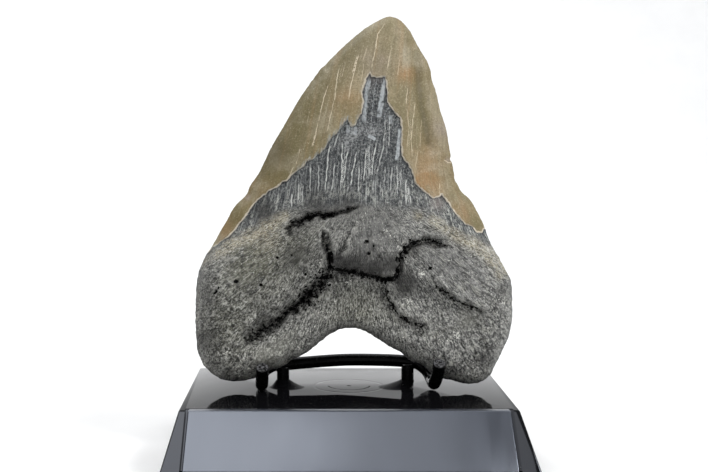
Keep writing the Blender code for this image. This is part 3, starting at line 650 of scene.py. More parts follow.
def blurred(points, values, reach):
    """The values averaged over the points within about reach millimetres."""
    low = points.min(axis=0) - 4 * reach
    shape = np.ceil((points.max(axis=0) + 4 * reach - low) / CELL).astype(int) + 1
    cells = (points - low) / CELL
    corner = cells.astype(int)
    weight = np.zeros(shape)
    total = np.zeros(shape)
    np.add.at(weight, tuple(corner.T), 1.0)
    np.add.at(total, tuple(corner.T), values)
    steps = np.arange(-int(3 * reach / CELL), int(3 * reach / CELL) + 1)
    kernel = np.exp(-0.5 * (steps * CELL / reach) ** 2)
    for axis in (0, 1):
        weight = np.apply_along_axis(np.convolve, axis, weight, kernel, "same")
        total = np.apply_along_axis(np.convolve, axis, total, kernel, "same")
    return (total / np.maximum(weight, 1e-9))[tuple(corner.T)]


def relief_light_and_shade(points, depths, rim_gap, reach, depth):
    """From -1 on a bump to 1 in a hollow that is depth millimetres deep, which steers painted light on
    bumps and painted shade in hollows.
    """
    fall = blurred(points, depths, reach) - depths
    return np.clip(fall / depth, -1, 1) * smooth(rim_gap / (2.5 * reach))


def band(points, pixels, width, taper=0.08):
    """A soft band along a line."""
    distance, _, along = line_field(points, to_plane(pixels))
    return np.exp(-(distance / width) ** 2) * fade_ends(along, taper)


def bands(points, lines):
    return sum(strength * band(points, pixels, width) for pixels, width, strength in lines)


def patches(points, spots):
    return sum(dome(points, (column, row), strength, reach) for column, row, reach, strength in spots)


def furrow_share(points):
    """1 in the dark furrows, easing to 0 beside them, broken up by pale crumbs. The dark is partly the
    cracks' own and partly painted shade in creases, pits and under ledges.
    """
    rough = wobble(points, 1.5, 0.8, 40.0)
    crumbs = wave(points, 1.3, 43.0, 2)
    distance = line_field(points, to_plane(LEFT_SCRATCH))[0]
    share = 0.9 * np.exp(-(distance / 0.4) ** 2)
    for pixels, width, force, broken, taper in FURROWS:
        share = np.maximum(share, band(rough, pixels, width, taper) * (force + broken * crumbs))
    for column, row, radius in PITS:
        share = np.maximum(share, dome(points, (column, row), PIT_SHADE, radius * PIT_SHADE))
    return np.clip(share, 0, 1)


def shared_marks(points, depths, distance):
    """The values that both faces work out alike."""
    fibre_across, fibre_along = fibre_places(points)
    return {
        "flow_across": flow_across(points),
        "flow_along": points[:, 1],
        "fibre_across": fibre_across,
        "fibre_along": fibre_along,
        "root_share": root_share(points),
        # The hollow and dimple values steer painted shade in recesses and painted light on bumps.
        "hollow": relief_light_and_shade(points, depths, distance, 2.6, 1.1),
        "dimple": relief_light_and_shade(points, depths, distance, 0.9, 0.35),
    }


def front_marks(points, depths, rim):
    """Named values at each point of the front, which the tooth's material reads."""
    distance = rim.distance(points)
    u = points[:, 0]
    marks = shared_marks(points, depths, distance)
    marks["enamel_gap"] = np.clip(enamel_gap(points), -9, 9)
    marks["dentine_gap"] = np.clip(signed_gap(wobble(points, 4.0, 1.0, 17.0), DENTINE_EDGE), -12, 12)
    marks["furrow"] = furrow_share(points)
    marks["streak_gap"], marks["streak"] = streak_marks(points, marks["flow_across"])
    for name, lines in (("hair", HAIRLINES), ("filling", FILLINGS), ("long", STREAKS)):
        marks[name + "_gap"], marks[name] = line_marks(points, lines)
    for name, spots in SPOTS:
        marks[name] = np.clip(patches(points, spots), 0, 1)
    marks["tan"] = np.clip(bands(points, TAN_BANDS) + patches(points, TAN), 0, 1)
    # Real stains and painted shade in one mark: darker under the boss and along the groove, crack and crown
    # valley.
    marks["stain_and_shade"] = np.clip(patches(points, STAIN_AND_SHADE_PATCHES) + bands(points, PAINTED_SHADE_BANDS), -1, 1)
    # Darker and more olive near the left rim, along the crown valley and on the right: partly the enamel's
    # own tint, partly painted shade on slopes turned from the light.
    left = (1 - smooth((distance - 1.5) / 12) * smooth((u + 22) / 26)) * (1 - 0.6 * smooth(u / 12))
    right_olive_and_shade = band(points, CROWN_VALLEY, 1.8) + 0.3 * smooth((u - 8) / 10)
    right_olive_and_shade = np.maximum(right_olive_and_shade, 0.9 * band(points, OLIVE_RIGHT, 4.0))
    marks["olive_and_shade"] = np.clip(np.maximum(left, right_olive_and_shade), 0, 1)
    marks["haze"] = band(points, HAZE, 1.9)
    marks["crisp"] = 1 - 0.75 * np.exp(-((u - RAGGED_MIDDLE) / RAGGED_REACH) ** 2)
    # Paler towards the right and in the arch's hollow, partly painted light.
    marks["pale"] = 0.8 * smooth(0.5 + u / 40) + patches(points, PALE)
    return marks


def back_marks(points, depths, rim):
    """The same values for the back, which the photograph doesn't show."""
    distance = rim.distance(points)
    gap = back_gap(points)
    zero = np.zeros(len(points))
    marks = shared_marks(points, depths, distance)
    for name in ("streak", "hair", "filling", "long"):
        marks[name + "_gap"], marks[name] = zero + GAP_LIMIT, zero
    marks.update(haze=zero, crisp=zero + 0.6, pale=zero + 0.5)
    marks["enamel_gap"] = np.clip(gap, -9, 9)
    marks["dentine_gap"] = np.clip(gap + 2.5, -12, 12)
    marks["furrow"] = smooth((wave(points, 2.6, 51.0, 3) - 0.55) / 0.25) * marks["root_share"]
    marks["tan"] = np.exp(-((gap + 5) / 4) ** 2)
    marks["olive_and_shade"] = 1 - smooth((distance - 1.5) / 12)
    marks["warm"] = np.clip(0.5 + 0.7 * wave(points, 18.0, 61.0), 0, 1)
    marks["mauve"] = np.clip(wave(points, 14.0, 67.0), 0, 1)
    marks["calm"] = np.clip(wave(points, 16.0, 97.0), 0, 1)
    marks["stain_and_shade"] = 0.5 * wave(points, 13.0, 95.0)
    marks["flecky"] = smooth((wave(points, 6.0, 91.0) - 0.1) / 0.4)
    marks["green"] = np.clip(0.4 + wave(points, 20.0, 71.0), 0, 1)
    return marks


def build_tooth():
    """The front and the back are separate sheets that share the rim's points."""
    outline = resample(catmull_rom(to_plane(OUTLINE), closed=True), RIM_SPACING, closed=True)
    nicks = wave(outline, 1.1, 81.0, 2)[:, None] * NICK_DEPTH
    rim = Rim(outline)
    rim = Rim(outline + nicks * rim.inward)
    front = sheet_points(rim, FRONT_SPACING, ROOT_FRONT_EDGE)
    back = sheet_points(rim, BACK_SPACING, ROOT_BACK_EDGE)
    count = len(rim.points)
    depths = np.concatenate([np.zeros(count), -front_depth(front, rim), back_depth(back, rim)])
    plane = np.vstack([rim.points, front, back])
    faces = triangulate(rim, front)
    shift = len(front)
    for triangle in triangulate(rim, back):
        faces.append(tuple(corner if corner < count else corner + shift for corner in reversed(triangle)))
    mesh = bpy.data.meshes.new("fossil_tooth")
    places = np.column_stack([plane[:, 0], depths, plane[:, 1]]) * MM
    mesh.from_pydata(places.tolist(), [], faces)
    marks = front_marks(np.vstack([rim.points, front]), -depths[:count + shift], rim)
    for name, values in back_marks(back, depths[count + shift:], rim).items():
        marks[name] = np.concatenate([marks[name], values])
        attribute = mesh.attributes.new(name, "FLOAT", "POINT")
        attribute.data.foreach_set("value", marks[name].astype(np.float32))
    roughen(mesh, marks)
    mesh.shade_smooth()
    tooth = link("fossil_tooth", mesh)
    tooth.location = TOOTH_FOOT + Vector((0, 0, BASE_TOP))
    tooth.rotation_euler.x = -TOOTH_LEAN
    mesh.materials.append(fossil_material())
    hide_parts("tooth")
    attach(tooth, "root")
    return tooth


def roughen(mesh, marks):
    """Moves each point along its normal: coarse porous bone on the root, almost nothing on enamel."""
    count = len(mesh.vertices)
    places = np.zeros(count * 3)
    mesh.vertices.foreach_get("co", places)
    places = places.reshape(-1, 3)
    normals = np.zeros(count * 3)
    mesh.vertex_normals.foreach_get("vector", normals)
    spots = (places / MM).tolist()
    coarse = np.array([noise.fractal((x / 1.9, y / 1.9, z / 1.9), 0.8, 2.1, 3) for x, y, z in spots])
    fine = np.array([noise.noise((x / 0.75, y / 0.75, z / 0.75 + 40)) for x, y, z in spots])
    bare = 1 - smooth(0.5 + marks["enamel_gap"] / 0.6)
    rough = bare * (0.35 + 0.65 * marks["root_share"]) * (1 + 1.2 * marks["furrow"])
    heave = rough * (0.20 * coarse + 0.13 * fine) + (1 - bare) * 0.012 * fine
    places += normals.reshape(-1, 3) * (heave * MM)[:, None]
    mesh.vertices.foreach_set("co", places.ravel())
    mesh.update()


# Material nodes


class Graph:
    """Short names for adding shader nodes to one material."""

    def __init__(self, name):
        self.material = bpy.data.materials.new(name)
        self.material.use_nodes = True
        self.tree = self.material.node_tree
        self.shader = self.tree.nodes["Principled BSDF"]

    def put(self, socket, value):
        if isinstance(value, bpy.types.NodeSocket):
            self.tree.links.new(value, socket)
        elif isinstance(value, tuple) and len(value) == 3 and socket.type == "RGBA":
            socket.default_value = (*value, 1)
        else:
            socket.default_value = value

    def node(self, kind, inputs, **settings):
        """A new node with its settings, and its inputs by name or number."""
        node = self.tree.nodes.new(kind)
        for name, value in settings.items():
            setattr(node, name, value)
        for name, value in inputs.items():
            self.put(node.inputs[name], value)
        return node

    def mark(self, name):
        return self.node("ShaderNodeAttribute", {}, attribute_name=name).outputs["Fac"]

    def math(self, operation, a, b=0.0, c=0.0):
        return self.node("ShaderNodeMath", {0: a, 1: b, 2: c}, operation=operation).outputs[0]

    def times(self, first, *others):
        """The product of sockets and numbers."""
        for other in others:
            first = self.math("MULTIPLY", first, other)
        return first

    def mix(self, share, a, b):
        return self.node("ShaderNodeMix", {0: share, 6: a, 7: b}, data_type="RGBA").outputs[2]

    def coats(self, colour, *layers):
        """Shades laid over a colour in turn. A row is a shade and what makes it thick, all multiplied:
        sockets, numbers, and ranges as tuples."""
        for shade, *shares in layers:
            shares = [self.range(*share) if isinstance(share, tuple) else share for share in shares]
            colour = self.mix(self.times(*shares), colour, srgb(*shade))
        return colour

    def range(self, value, low, high, to_low=0.0, to_high=1.0, smooth_step=True):
        kind = "SMOOTHSTEP" if smooth_step else "LINEAR"
        inputs = {"Value": value, "From Min": low, "From Max": high, "To Min": to_low, "To Max": to_high}
        return self.node("ShaderNodeMapRange", inputs, interpolation_type=kind).outputs["Result"]

    def vector(self, x, y, z=0.0):
        return self.node("ShaderNodeCombineXYZ", {"X": x, "Y": y, "Z": z}).outputs[0]

    def noise(self, vector, scale, detail=2.0, roughness=0.5):
        inputs = {"Vector": vector, "Scale": scale, "Detail": detail, "Roughness": roughness}
        return self.node("ShaderNodeTexNoise", inputs).outputs["Fac"]

    def jitter(self, place, scale, reach):
        """Noise from -reach to reach, which makes a line waver."""
        return self.range(self.noise(place, scale), 0.3, 0.7, -reach, reach, False)

    def bump(self, height, strength, distance):
        inputs = {"Height": height, "Strength": strength, "Distance": distance}
        return self.node("ShaderNodeBump", inputs).outputs["Normal"]

    def place(self):
        return self.node("ShaderNodeTexCoord", {}).outputs["Object"]

    def parts(self, vector):
        return self.node("ShaderNodeSeparateXYZ", {0: vector}).outputs

    def set(self, **inputs):
        for name, value in inputs.items():
            self.put(self.shader.inputs[name.replace("_", " ")], value)


def srgb(red, green, blue):
    """A colour as seen on screen, from 0 to 255, as the linear one that shaders take."""
    values = np.array([red, green, blue]) / 255
    linear = np.where(values <= 0.04045, values / 12.92, ((values + 0.055) / 1.055) ** 2.4)
    return tuple(float(value) for value in linear)


def enamel_colour(graph, place):
    """Tan to dull green-brown enamel with fine upright streaks, warm stains and pale hairline cracks,
    darker near the left rim, along the crown's valley and on the right, partly painted shade.
    """
    flow = graph.vector(graph.mark("flow_across"), graph.times(graph.mark("flow_along"), 0.055))
    streaks = graph.noise(flow, 0.75, 4.0, 0.6)
    cloud = graph.noise(place, 90.0, 3.0, 0.55)
    grain = graph.noise(place, 1700.0, 3.0, 0.75)
    broken = graph.range(graph.noise(place, 420.0), 0.36, 0.5)
    line = pale_line(graph, "hair", graph.jitter(place, 700.0, 0.12), 0.06, 0.20)
    colour = graph.coats(
        # Darker towards olive where the mark is high: partly the enamel's own tint, partly painted shade.
        graph.mix(graph.mark("olive_and_shade"), srgb(143, 131, 102), srgb(102, 93, 58)),
        ((152, 113, 68), graph.mark("warm"), (streaks, 0.3, 0.6, 0.45, 1.0), 0.85),
        ((150, 138, 132), graph.mark("mauve"), 0.6),
        ((156, 148, 126), (cloud, 0.48, 0.64, 0.0, 0.45)),
        ((106, 98, 64), (cloud, 0.48, 0.34, 0.0, 0.5)),
        ((140, 112, 72), (graph.noise(flow, 0.22, 4.0, 0.6), 0.52, 0.64, 0.0, 0.35)),
        ((104, 90, 62), (streaks, 0.42, 0.66, 0.0, 0.35)),
        ((172, 158, 130), (graph.noise(flow, 2.6, 3.0, 0.6), 0.54, 0.70, 0.0, 0.25)),
        ((72, 62, 42), (grain, 0.48, 0.34, 0.0, 0.45)),
        ((196, 186, 164), (grain, 0.54, 0.66, 0.0, 0.25)),
        ((205, 192, 168), line, (broken, 0.0, 1.0, 0.3, 0.85)))
    return colour, streaks


def pale_line(graph, name, wander, narrow, wide):
    """How much of a drawn line shows, whose distance and strength are marks."""
    away = graph.math("ABSOLUTE", graph.math("ADD", graph.mark(name + "_gap"), wander))
    return graph.times(graph.range(away, narrow, wide, 1.0, 0.0), graph.mark(name))


def threads(graph, across, along, scale, stretch, low, high):
    """Thin wavy lines that run along the second coordinate."""
    place = graph.vector(across, graph.times(along, stretch))
    away = graph.math("ABSOLUTE", graph.math("SUBTRACT", graph.noise(place, scale), 0.5))
    return graph.range(away, low, high, 1.0, 0.0)


def dentine_colour(graph, place):
    """Dark blue-grey dentine with pale mineral streaks that run towards the tip."""
    across, along, gap = graph.mark("flow_across"), graph.mark("flow_along"), graph.mark("dentine_gap")
    veins = graph.noise(graph.vector(across, graph.times(along, 0.10)), 1.7, 4.0, 0.65)
    grain = graph.noise(place, 1300.0, 3.0, 0.8)
    dark = threads(graph, across, along, 1.1, 0.035, 0.008, 0.028)
    light = threads(graph, graph.math("ADD", across, 31.0), along, 1.0, 0.03, 0.006, 0.022)
    wander = graph.jitter(place, 500.0, 0.2)
    patchy = graph.range(graph.noise(place, 800.0), 0.36, 0.56)
    colour = graph.coats(
        graph.mix(graph.range(veins, 0.34, 0.66), srgb(38, 42, 47), srgb(88, 91, 92)),
        ((34, 37, 41), (gap, 11.0, 3.0, 0.0, 0.45)),
        ((150, 152, 150), (grain, 0.50, 0.64, 0.0, 0.75)),
        ((16, 18, 21), (grain, 0.47, 0.37, 0.0, 0.75)),
        ((20, 22, 26), dark, 0.55),
        ((168, 171, 168), light, (veins, 0.42, 0.56), (gap, 12.0, 7.0, 0.25, 0.75)),
        ((196, 198, 190), pale_line(graph, "streak", wander, 0.05, 0.30), patchy, 0.9),
        ((36, 39, 44), pale_line(graph, "long", wander, 0.35, 0.9), 0.55),
        ((206, 208, 204), pale_line(graph, "long", wander, 0.10, 0.32),
         (patchy, 0.0, 1.0, 0.45, 1.0), 0.9),
        ((150, 152, 152), graph.mark("haze"), (grain, 0.44, 0.56, 0.1, 0.8)),
        ((184, 190, 193), pale_line(graph, "filling", wander, 0.4, 0.85),
         (patchy, 0.0, 1.0, 0.6, 1.0), 0.8))
    return colour, veins


def root_colour(graph, place):
    """Speckled grey bone, greener on the lobes and paler to the right (partly painted light), with a beige
    band under the crown, painted shade in the hollows and painted light on the bumps.
    """
    across, along = graph.mark("fibre_across"), graph.mark("fibre_along")
    hollow, dimple = graph.mark("hollow"), graph.mark("dimple")
    depth = graph.times(graph.parts(place)[1], 1 / MM)
    speckle = graph.noise(graph.vector(across, graph.times(along, 0.2), depth), 1.9, 4.0, 0.75)
    grain = graph.noise(graph.vector(across, graph.times(along, 0.38), depth), 2.5, 3.0, 0.88)
    blotch = graph.noise(place, 420.0, 3.0, 0.6)
    flecks = graph.math("MULTIPLY_ADD", graph.mark("flecky"), 0.11, graph.noise(place, 1300.0, 3.0, 0.75))
    coarse = graph.times(graph.range(graph.mark("calm"), 0.0, 1.0, 1.12, 0.45),
                         graph.range(blotch, 0.35, 0.6, 0.8, 1.0))
    dark = threads(graph, across, along, 0.85, 0.10, 0.008, 0.034)
    light = threads(graph, graph.math("ADD", across, 57.0), along, 0.95, 0.11, 0.005, 0.024)
    cloud = graph.range(graph.noise(place, 120.0, 5.0, 0.65), 0.40, 0.60)
    colour = graph.coats(
        graph.mix(cloud, srgb(76, 76, 77), srgb(114, 114, 112)),
        # Paler to the right and in the arch's hollow, partly painted light.
        ((122, 122, 121), graph.mark("pale")),
        ((111, 111, 91), graph.mark("green"), 0.75),
        ((36, 36, 36), (blotch, 0.47, 0.32, 0.0, 0.75)),
        ((182, 182, 176), (speckle, 0.52, 0.62), coarse, 0.7),
        ((18, 18, 18), (speckle, 0.48, 0.37), coarse, 0.9),
        ((160, 151, 126), graph.mark("tan"), (blotch, 0.35, 0.6, 0.6, 0.95)),
        # Painted shade in the hollows and dimples, and painted light on the bumps.
        ((22, 22, 22), (hollow, 0.2, 1.0, 0.0, 0.55)),
        ((26, 26, 26), (dimple, 0.1, 0.9, 0.0, 0.65)),
        ((176, 176, 172), (dimple, -0.1, -0.9, 0.0, 0.5)),
        ((202, 202, 195), (grain, 0.53, 0.60), coarse, 0.8),
        ((8, 8, 9), (grain, 0.48, 0.41), coarse, 0.9),
        ((18, 18, 18), dark, 0.6),
        ((188, 188, 178), light, (blotch, 0.42, 0.55), 0.6),
        ((238, 238, 230), (flecks, 0.64, 0.67, 0.0, 0.95)))
    return colour, speckle, grain


def fossil_material():
    """Enamel over dentine and bone, with the frayed edge between them, its painted highlight and the
    painted shadow line under it, and the black furrows that are partly painted shade.
    """
    graph = Graph("fossil")
    place = graph.place()
    enamel, streaks = enamel_colour(graph, place)
    dentine, veins = dentine_colour(graph, place)
    root, speckle, grain = root_colour(graph, place)
    stain_and_shade, crisp, sunken = graph.mark("stain_and_shade"), graph.mark("crisp"), graph.mark("furrow")
    on_dentine = graph.range(graph.mark("dentine_gap"), -2.5, 1.5)
    bare = graph.coats(
        graph.mix(on_dentine, root, dentine),
        # Real stains and painted shade darken the bare bone and dentine, and the negative patches make it
        # paler.
        ((28, 27, 26), (stain_and_shade, 0.0, 1.0, 0.0, 0.85)),
        ((166, 166, 156), (stain_and_shade, 0.0, -1.0, 0.0, 0.5)),
        ((156, 144, 138), graph.mark("mauve"), 0.5))
    # The same painted shade and stains darken the enamel too.
    enamel = graph.coats(enamel, ((70, 62, 40), (stain_and_shade, 0.0, 1.0, 0.0, 0.5)))
    gap = graph.math("ADD", graph.mark("enamel_gap"), graph.jitter(place, 900.0, 0.12))
    on_enamel = graph.range(gap, -0.05, 0.10)
    # The near-black furrows: the cracks' own dark and painted shade in creases, pits and under the ledges.
    crumbs = graph.math("SUBTRACT", graph.noise(place, 1000.0, 3.0, 0.6), 0.5)
    crumbs = graph.times(crumbs, graph.range(sunken, 0.02, 0.30, 0.0, 3.6))
    furrow = graph.range(graph.math("ADD", crumbs, sunken), 0.46, 0.56)
    colour = graph.coats(
        graph.mix(on_enamel, bare, enamel),
        ((146, 152, 150), (gap, -1.6, -0.2), (gap, 0.2, 1.5, 1.0, 0.0), (crisp, 0.5, 0.9, 1.0, 0.0),
         (veins, 0.46, 0.56), (grain, 0.44, 0.56, 0.2, 0.9)),
        # A painted shadow line just under the enamel's edge.
        ((22, 22, 24), (gap, -0.75, -0.45), (gap, -0.40, -0.25, 1.0, 0.0), 0.55),
        # A painted highlight along the crisp enamel edge.
        ((214, 204, 186), (gap, -0.32, -0.05), (gap, 0.12, 0.40, 1.0, 0.0),
         (graph.noise(place, 260.0), 0.35, 0.5, 0.35, 0.9), crisp),
        ((4, 4, 4), furrow))
    roughness = graph.math("MULTIPLY_ADD", on_enamel, -0.18, 0.68)
    roughness = graph.math("MULTIPLY_ADD", streaks, 0.12, roughness)
    bone = graph.math("MULTIPLY_ADD", grain, 0.5, speckle)
    height = graph.mix(on_dentine, bone, graph.times(veins, 1.2))
    height = graph.times(height, graph.range(on_enamel, 0.0, 1.0, 1.0, 0.06))
    height = graph.math("MULTIPLY_ADD", streaks, 0.05, height)
    graph.set(Base_Color=colour, Roughness=roughness, Normal=graph.bump(height, 0.9, 0.7 * MM), IOR=1.5,
              Specular_IOR_Level=graph.range(furrow, 0.0, 1.0, 0.5, 0.05))
    return graph.material


def plastic_material():
    """Glossy moulded black plastic with round sink marks on the top, which reflects less than the sides."""
    graph = Graph("gloss_black_plastic")
    place = graph.place()
    height = graph.parts(place)[2]
    away = graph.node("ShaderNodeVectorMath", {0: place, 1: SINK_CENTRE}, operation="DISTANCE")
    away = graph.math("MULTIPLY_ADD", graph.noise(place, 160.0), 1.0 * MM, away.outputs["Value"])
    outer = graph.math("ABSOLUTE", graph.math("SUBTRACT", away, 12.4 * MM))
    inner = graph.math("ABSOLUTE", graph.math("SUBTRACT", away, 7.6 * MM))
    inner = graph.times(graph.range(inner, 0.1 * MM, 0.5 * MM, 1.0, 0.0),
                        graph.range(graph.parts(place)[1], 9.0 * MM, 6.0 * MM))
    scar = graph.math("MAXIMUM", inner, graph.range(away, 1.0 * MM, 1.6 * MM, 1.0, 0.0))
    rings = graph.math("ADD", scar, graph.range(outer, 0.0, 0.8 * MM, 1.0, 0.0))
    waves = graph.noise(place, 55.0, 2.0, 0.4)
    normal = graph.bump(graph.math("MULTIPLY_ADD", waves, 0.05, graph.times(rings, -0.9)), 0.25, 0.2 * MM)
    colour = graph.coats(
        srgb(13, 13, 15), ((120, 120, 120), (graph.noise(place, 900.0, 3.0, 0.8), 0.66, 0.74), 0.10),
        ((225, 225, 220), (graph.noise(place, 1500.0, 1.0), 0.80, 0.84)))
    film = graph.range(height, BASE_TOP - 0.4 * MM, BASE_TOP - 0.1 * MM, 1.48, 1.11)
    film = graph.math("MULTIPLY_ADD", scar, -0.11, film)
    on_collar = graph.range(height, BASE_TOP + 0.01 * MM, BASE_TOP + 0.06 * MM)
    film = graph.math("MULTIPLY_ADD", on_collar, -0.05, film)
    smear = graph.range(graph.noise(place, 35.0, 4.0, 0.6), 0.4, 0.7, 0.03, 0.09)
    smear = graph.math("MULTIPLY_ADD", on_collar, graph.range(waves, 0.3, 0.7, 0.12, 0.28), smear)
    graph.set(Base_Color=colour, Roughness=smear, Normal=normal, IOR=film,
              Specular_Tint=srgb(236, 242, 255))
    return graph.material


def plate_material():
    """Satin dark grey plate with faint upright wipe marks."""
    graph = Graph("satin_plate")
    place = graph.place()
    across, _, up = graph.parts(place)
    smudge = graph.noise(graph.vector(across, graph.times(up, 0.3)), 130.0, 3.0)
    colour = graph.mix(graph.range(smudge, 0.35, 0.65), srgb(34, 37, 44), srgb(42, 45, 53))
    roughness = graph.range(smudge, 0.35, 0.65, 0.22, 0.26)
    normal = graph.bump(graph.noise(place, 1400.0, 2.0, 0.7), 0.05, 0.1 * MM)
    graph.set(Base_Color=colour, Roughness=roughness, Normal=normal, IOR=1.9,
              Specular_Tint=srgb(232, 240, 255))
    return graph.material


def rod_material():
    """Black painted steel, slightly uneven from brushing and worn on the end faces."""
    graph = Graph("black_painted_steel")
    place = graph.place()
    peel = graph.noise(place, 700.0, 3.0, 0.6)
    colour = graph.coats(
        srgb(7, 7, 7), ((60, 60, 62), (graph.noise(place, 1300.0, 3.0, 0.8), 0.68, 0.76), 0.3),
        ((120, 120, 122), graph.mark("end"), (graph.noise(place, 1500.0, 3.0, 0.8), 0.40, 0.62), 0.7))
    graph.set(Base_Color=colour, Roughness=graph.range(peel, 0.3, 0.7, 0.16, 0.30),
              Normal=graph.bump(peel, 0.35, 0.1 * MM), IOR=1.33, Specular_Tint=srgb(150, 150, 152))
    return graph.material


# Stand pieces


def link(name, data):
    thing = bpy.data.objects.new(name, data)
    bpy.context.scene.collection.objects.link(thing)
    return thing


def mesh_from(body, name):
    mesh = bpy.data.meshes.new(name)
    body.to_mesh(mesh)
    body.free()
    return mesh


def finish(thing):
    """Gives the object the mesh that its modifiers make."""
    bpy.context.view_layer.update()
    evaluated = thing.evaluated_get(bpy.context.evaluated_depsgraph_get())
    mesh = bpy.data.meshes.new_from_object(evaluated)
    thing.modifiers.clear()
    thing.data = mesh


def shade(mesh):
    mesh.shade_smooth()
    mesh.set_sharp_from_angle(angle=SHARP_ANGLE)


def tapered_block(name, foot, top, low, high):
    """A box whose foot and top are (x half width, front y, back y) at the heights low and high."""
    body = bmesh.new()
    bmesh.ops.create_cube(body, size=2)
    for vertex in body.verts:
        half, front, back = top if vertex.co.z > 0 else foot
        height = high if vertex.co.z > 0 else low
        vertex.co = (vertex.co.x * half, back if vertex.co.y > 0 else front, height)
    return link(name, mesh_from(body, name))


def bevel(thing, width, segments=4):
    modifier = thing.modifiers.new("rounded_edges", "BEVEL")
    modifier.width = width
    modifier.segments = segments
    modifier.limit_method = "ANGLE"
    modifier.harden_normals = False


def boolean(thing, other, operation):
    modifier = thing.modifiers.new(other.name, "BOOLEAN")
    modifier.operation = operation
    modifier.object = other


def front_run(drop):
    """How far forward the front slant runs while it drops that much."""
    return drop * math.tan(FRONT_SLANT)


def base_block():
    """The base's sloping block on its plinth, without recess and swellings."""
    low = (FOOT_HIGH.x, FOOT_LOW.y, FOOT_HIGH.y)
    high = (TOP_WIDTH / 2, TOP_FRONT, TOP_BACK)
    block = tapered_block("display_base", low, high, PLINTH_HEIGHT, BASE_TOP)
    body = bmesh.new()
    body.from_mesh(block.data)
    underside = min(body.faces, key=lambda face: face.calc_center_median().z)
    plinth = bmesh.ops.extrude_face_region(body, geom=[underside])["geom"]
    moved = [item for item in plinth if isinstance(item, bmesh.types.BMVert)]
    bmesh.ops.translate(body, verts=moved, vec=(0, 0, -PLINTH_HEIGHT))
    bmesh.ops.delete(body, geom=[underside], context="FACES_ONLY")
    bmesh.ops.recalc_face_normals(body, faces=body.faces)
    body.to_mesh(block.data)
    body.free()
    bevel(block, BASE_EDGE)
    return block


def plate_recess():
    """The cutter for the nameplate's recess, which reaches out past the front slant."""
    drop = PLATE_DROP + GAP
    bed = TOP_FRONT + (PLATE_THICKNESS + GAP) / math.cos(FRONT_SLANT)
    outside = TOP_FRONT - CUTTER_REACH
    reach = front_run(CUTTER_REACH)
    high = (PLATE_TOP_WIDTH / 2 + PLATE_SIDE_GAP, outside + reach, bed + reach)
    low = (PLATE_FOOT_WIDTH / 2 + PLATE_SIDE_GAP, outside - front_run(drop), bed - front_run(drop))
    return tapered_block("plate_recess", low, high, BASE_TOP - drop, BASE_TOP + CUTTER_REACH)


def collar(name, post, foot_radius, lean):
    """The hollow-sided swelling round a post's foot, closed up to the post."""
    top_radius = ROD_RADIUS + PAINT - 0.02 * MM
    profile = [(0, COLLAR_HEIGHT), (top_radius, COLLAR_HEIGHT)]
    for share in np.linspace(0, 1, COLLAR_STEPS + 1)[1:]:
        radius = top_radius + (foot_radius - top_radius) * share
        profile.append((radius, COLLAR_HEIGHT * (1 - share) ** COLLAR_HOLLOW))
    profile += [(foot_radius, -MM), (0, -MM)]
    mesh = bpy.data.meshes.new(name)
    mesh.from_pydata([(x, 0, z) for x, z in profile], [(i, i + 1) for i in range(len(profile) - 1)], [])
    turned = link(name, mesh)
    screw = turned.modifiers.new("turn", "SCREW")
    screw.steps = screw.render_steps = 48
    screw.use_merge_vertices = True
    screw.merge_threshold = 0.01 * MM
    finish(turned)
    for vertex in turned.data.vertices:
        slide = min(max(1 - vertex.co.z / COLLAR_HEIGHT, 0), 1) ** COLLAR_SLIDE
        vertex.co.x += lean * slide
        vertex.co.y -= COLLAR_FORWARD * slide
    turned.location = (post.x, post.y, BASE_TOP)
    return turned


def build_base():
    block = base_block()
    helpers = [plate_recess(), collar("left_swelling", LEFT_POST, *LEFT_COLLAR),
               collar("right_swelling", RIGHT_POST, *RIGHT_COLLAR)]
    for helper, operation in zip(helpers, ("DIFFERENCE", "UNION", "UNION")):
        boolean(block, helper, operation)
    finish(block)
    for helper in helpers:
        bpy.data.objects.remove(helper)
    shade(block.data)
    block.data.materials.clear()
    block.data.materials.append(plastic_material())
    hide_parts("base")
    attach(block, "root")


def build_nameplate():
    face = TOP_FRONT - PLATE_PROUD / math.cos(FRONT_SLANT)
    back = TOP_FRONT + PLATE_THICKNESS / math.cos(FRONT_SLANT)
    high = (PLATE_TOP_WIDTH / 2, face, back)
    low = (PLATE_FOOT_WIDTH / 2, face - front_run(PLATE_DROP), back - front_run(PLATE_DROP))
    plate = tapered_block("front_plate", low, high, BASE_TOP - PLATE_DROP, BASE_TOP)
    bevel(plate, PLATE_EDGE, 5)
    finish(plate)
    shade(plate.data)
    plate.data.materials.append(plate_material())
    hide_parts("nameplate")
    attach(plate, "root")


def rod_route():
    route = resample(catmull_rom(ROD_ROUTE, closed=False), 0.6) * MM
    return route + [0, 0, BASE_TOP]


